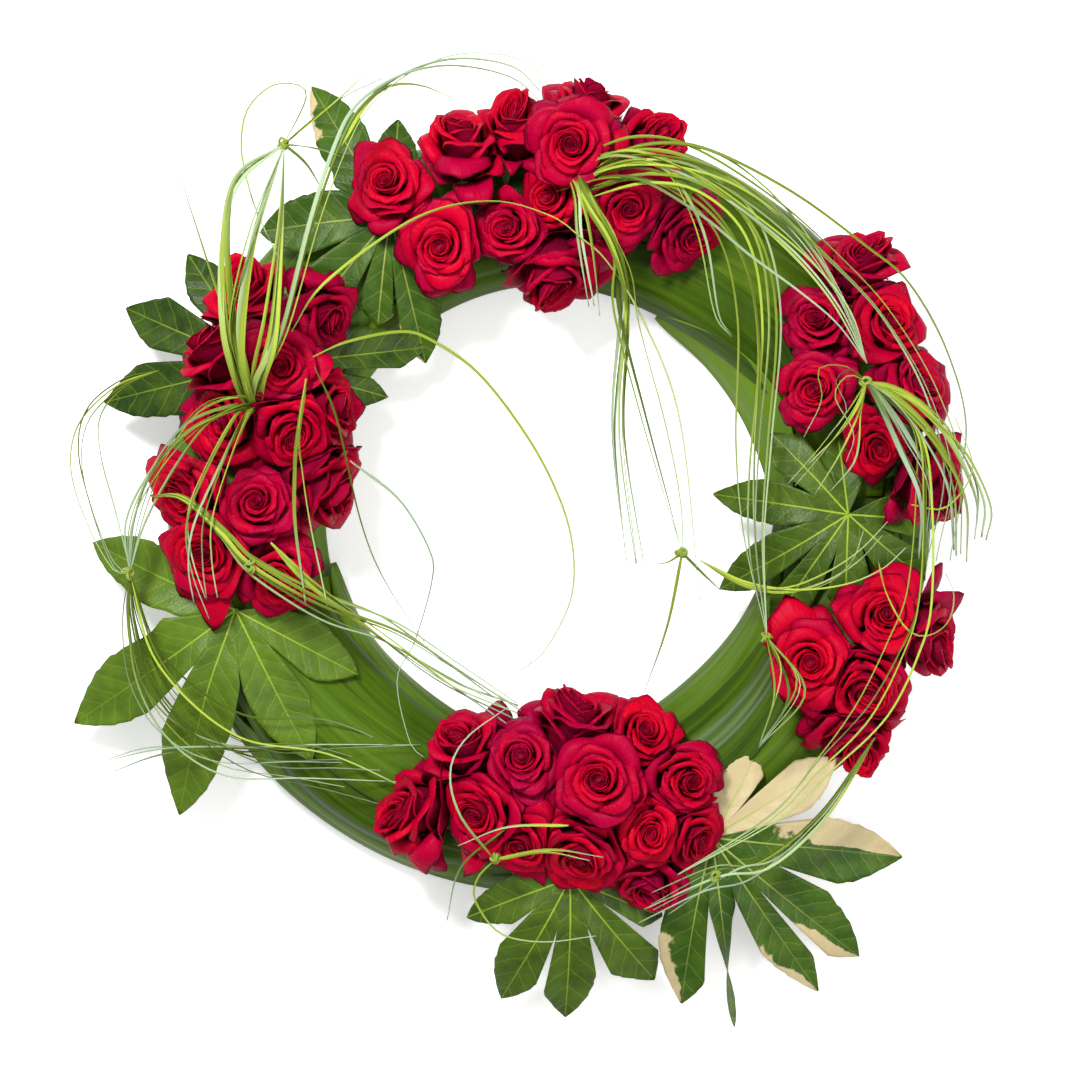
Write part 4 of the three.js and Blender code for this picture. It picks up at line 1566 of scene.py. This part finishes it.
RIGHT_GRASS = GrassBunch(
    "grass_strands_right", "bear_grass_right",
    (
        Strands(((24, 258, 126), (62, 270, 156), (109, 264, 158), (148, 244, 158), (187, 209, 156),
                (218, 162, 158), (242, 110, 150)), 9, 11, 2.8, TIED, 0.45, 6),
        Strands(((26, 256, 128), (62, 264, 158), (85, 259, 156), (101, 237, 152), (114, 204, 146),
                (126, 151, 116), (139, 135, 104)), 2, 3, 4.2, tone=0.9),
        Strands(((24, 250, 126), (66, 256, 152), (109, 244, 150), (148, 205, 140), (164, 139, 118),
                (160, 45, 106), (160, -25, 102), (168, -100, 110)), 7, 9, 2.4, TIED, 0.4, 6),
        Strands(((26, 262, 126), (66, 274, 156), (109, 270, 156), (172, 236, 154), (226, 193, 152),
                (257, 162, 152), (289, 108, 148), (308, 45, 136), (300, -25, 112)),
                4, 10, 2.4, tone=0.4, fan=6),
        Strands(((12, 264, 116), (21, 238, 146), (24, 207, 144), (31, 155, 118)),
                3, 3, 3.8, tone=0.85, fan=3),
        Strands(((14, 264, 116), (26, 236, 148), (44, 206, 148), (53, 176, 128), (53, 147, 112), (47, 84, 96),
                (48, 37, 92), (58, -41, 88)), 5, 5, 3.2, tone=0.6, fan=3),
        Strands(((14, 264, 116), (30, 234, 148), (52, 190, 132), (57, 147, 112), (78, 69, 98), (94, 6, 92),
                (103, -35, 92)), 3, 4, 3.2, TIED, 0.3, 3),
        Strands(((103, -35, 92), (92, -42, 90), (82, -44, 88)), 1, 0, 2.8),
        Strands(((103, -35, 92), (120, -52, 92), (133, -64, 94)), 1, 0, 2.8),
        Strands(((103, -35, 92), (92, -90, 90), (74, -142, 96)), 1, 0, 2.8),
        Strands(((117, -41, 92), (151, -59, 98), (185, -66, 104), (218, -61, 110), (244, -46, 114),
                (261, -26, 112)), 4, 6, 2.4),
        Strands(((242, 96, 150), (262, 90, 158), (285, 76, 158), (312, 50, 146), (334, 8, 126),
                (334, -20, 108)), 4, 3, 6.4, tone=0.6),
        Strands(((242, 96, 150), (265, 82, 160), (294, 52, 152), (314, 14, 134), (318, -36, 108)),
                4, 3, 6.0, tone=0.4),
        Strands(((242, 96, 150), (252, 80, 160), (270, 50, 154), (290, 10, 142), (292, -36, 112)),
                4, 4, 4.4, tone=0.2),
        Strands(((242, 96, 150), (232, 74, 160), (215, 46, 156), (195, 22, 128)), 5, 6, 1.8, tone=0.8),
        Strands(((242, 96, 150), (228, 104, 158), (212, 92, 158), (218, 66, 156), (206, 44, 148)), 3, 7, 1.3),
        Strands(((277, 2, 140), (304, 0, 138), (324, 30, 140), (310, 69, 146)), 1, 0, 2.4),
        Strands(((254, -41, 112), (257, -66, 150), (272, -93, 156), (289, -98, 150), (306, -87, 136),
                (312, -66, 118), (307, -51, 108)), 1, 0, 2.2),
        Strands(((242, 96, 150), (280, 60, 154), (288, 6, 146), (284, -66, 160), (272, -103, 160),
                (254, -140, 158), (236, -165, 156), (211, -193, 152), (173, -236, 140), (98, -282, 136)),
                4, 6, 2.8, TIED),
        Strands(((250, -177, 130), (211, -236, 112), (164, -275, 114), (127, -282, 140), (78, -314, 112)),
                6, 7, 2.4),
        Strands(((168, -100, 112), (180, -140, 144), (161, -185, 120)), 6, 6, 2.2, TIED),
        Strands(((-42, -271, 128), (0, -262, 146), (40, -268, 140)), 2, 3, 3.0),
        Strands(((-42, -271, 126), (-56, -287, 110), (-58, -306, 96), (-39, -332, 86), (-5, -339, 84),
                (36, -334, 86)), 1, 0, 2.2),
        Strands(((-44, -270, 128), (-69, -236, 144), (-77, -204, 130), (-65, -178, 126), (-33, -154, 120)),
                1, 0, 2.2),
        Strands(((-35, -248, 130), (-69, -278, 120), (-80, -321, 96)), 1, 0, 2.4),
        Strands(((14, -243, 152), (-33, -245, 144), (-71, -260, 132)), 1, 0, 3.6, tone=0.9),
    ),
    ((242, 96, 151), (103, -35, 92), (168, -100, 111), (-42, -271, 127), (127, -282, 140)), 83,
)


# ---- Room ----


@dataclass
class Studio:
    """A pale floor, soft light and the camera, straight above the wreath."""

    floor_size: float = 8000.0
    camera_height: float = 3090.0
    face_height: float = 90.0
    field_width: float = 842.4
    aim: tuple[float, float] = (-7.8, -25.0)
    sensor: float = 36.0
    paper_glow: float = 0.38
    key_power: float = 77.0
    fill_power: float = 26.0
    surround_strength: tuple[float, float] = (0.12, 0.7)

    def floor(self) -> None:
        """Lays the floor that the wreath lies on."""
        deselect_all()
        bpy.ops.mesh.primitive_plane_add(size=mm(self.floor_size))
        floor = bpy.context.object
        floor.name = "studio_floor"
        material, paper = new_material(
            "matt_studio_paper",
            {"Base Color": linear("F4F4F2"), "Roughness": 0.9, "Emission Color": linear("FFFFFF")},
        )
        # The camera sees the paper as bright as if it were also lit from behind, which keeps shadows faint.
        tree = material.node_tree
        path = add_node(tree, "LightPath")
        glow = add_node(
            tree, "Math", {0: path.outputs["Is Camera Ray"], 1: self.paper_glow}, operation="MULTIPLY"
        )
        tree.links.new(glow.outputs[0], paper.inputs["Emission Strength"])
        floor.data.materials.append(material)

    def light(self, name: str, place: Point, aim: np.ndarray, size: float, power: float) -> None:
        """Hangs a square soft light.

        Args:
            name: Its name.
            place: Where it hangs, in millimetres from the ring's middle.
            aim: Where it points.
            size: Its side in millimetres.
            power: Its power in watts.
        """
        data = bpy.data.lights.new(name, "AREA")
        data.size = mm(size)
        data.energy = power
        lamp = bpy.data.objects.new(name, data)
        bpy.context.scene.collection.objects.link(lamp)
        at = Vector((aim + np.array(place)) / 1000)
        lamp.location = at
        lamp.rotation_euler = (Vector(aim / 1000) - at).to_track_quat("-Z", "Y").to_euler()

    def build(self, centre: np.ndarray) -> None:
        """Sets up floor, lights, surroundings and camera.

        Args:
            centre: The middle of the ring, in millimetres.
        """
        self.floor()
        self.light("key_softbox", (-700, 1050, 2200), centre, 500, self.key_power)
        self.light("fill_softbox", (1500, -600, 1700), centre, 1500, self.fill_power)
        world = bpy.data.worlds.new("studio_surround")
        bpy.context.scene.world = world
        world.use_nodes = True
        tree = world.node_tree
        surround = tree.nodes["Background"]
        surround.inputs["Color"].default_value = linear("FFFFFF")
        split = add_node(tree, "SeparateXYZ", {"Vector": add_node(tree, "TexCoord").outputs["Generated"]})
        horizon, zenith = self.surround_strength
        ceiling = add_node(
            tree, "MapRange",
            {"Value": split.outputs["Z"], "From Max": 0.9, "To Min": horizon, "To Max": zenith},
        )
        # A camera that looks past the floor's edge sees white paper, while the leaves keep a dim horizon.
        path = add_node(tree, "LightPath")
        backdrop = add_node(tree, "Math", {0: path.outputs["Is Camera Ray"], 1: ceiling}, operation="MAXIMUM")
        tree.links.new(backdrop.outputs[0], surround.inputs["Strength"])
        camera = bpy.data.cameras.new("camera")
        camera.sensor_width = self.sensor
        camera.lens = self.sensor * (self.camera_height - self.face_height) / self.field_width
        rig = bpy.data.objects.new("camera", camera)
        bpy.context.scene.collection.objects.link(rig)
        rig.location = (mm(centre[0] + self.aim[0]), mm(centre[1] + self.aim[1]), mm(self.camera_height))
        bpy.context.scene.camera = rig
        bpy.context.scene.view_settings.view_transform = "Standard"


def ring_middle() -> np.ndarray:
    """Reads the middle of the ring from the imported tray.

    Returns:
        The middle, on the surface that the wreath lies on, in millimetres.
    """
    low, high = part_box("base_tray")
    middle = (low + high) / 2
    return np.array([middle.x * 1000, middle.y * 1000, 0.0])


def dress_ring(nodes: dict[str, Obj], finishes: Finishes) -> None:
    """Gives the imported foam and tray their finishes.

    Args:
        nodes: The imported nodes.
        finishes: The wreath's finishes.
    """
    for name, finish in (("foam_ring", finishes.foam), ("base_tray", finishes.tray)):
        nodes[name].data.materials.clear()
        nodes[name].data.materials.append(finish)


def main() -> None:
    """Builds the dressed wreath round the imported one."""
    logging.basicConfig(level=logging.INFO, format="%(message)s")
    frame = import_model()
    deselect_all()
    centre = ring_middle()
    Studio().build(centre)
    finishes = Finishes()
    dress_ring(frame["nodes"], finishes)
    roses = RoseSprays(frame["nodes"], finishes).build()
    LOG.info("%d roses", len(roses))
    pieces = [leaf.build(centre, finishes) for leaf in PALMATE_LEAVES]
    pieces.append(StrapWrap().build(centre, finishes))
    pieces += [bunch.build(centre, finishes) for bunch in (LEFT_GRASS, RIGHT_GRASS)]
    for piece in pieces:
        LOG.info("%s: %d triangles", piece.name, sum(len(face.vertices) - 2 for face in piece.data.polygons))
    LOG.info(
        "roses: %d triangles", sum(len(face.vertices) - 2 for rose in roses for face in rose.data.polygons)
    )


if __name__ == "__main__":
    main()
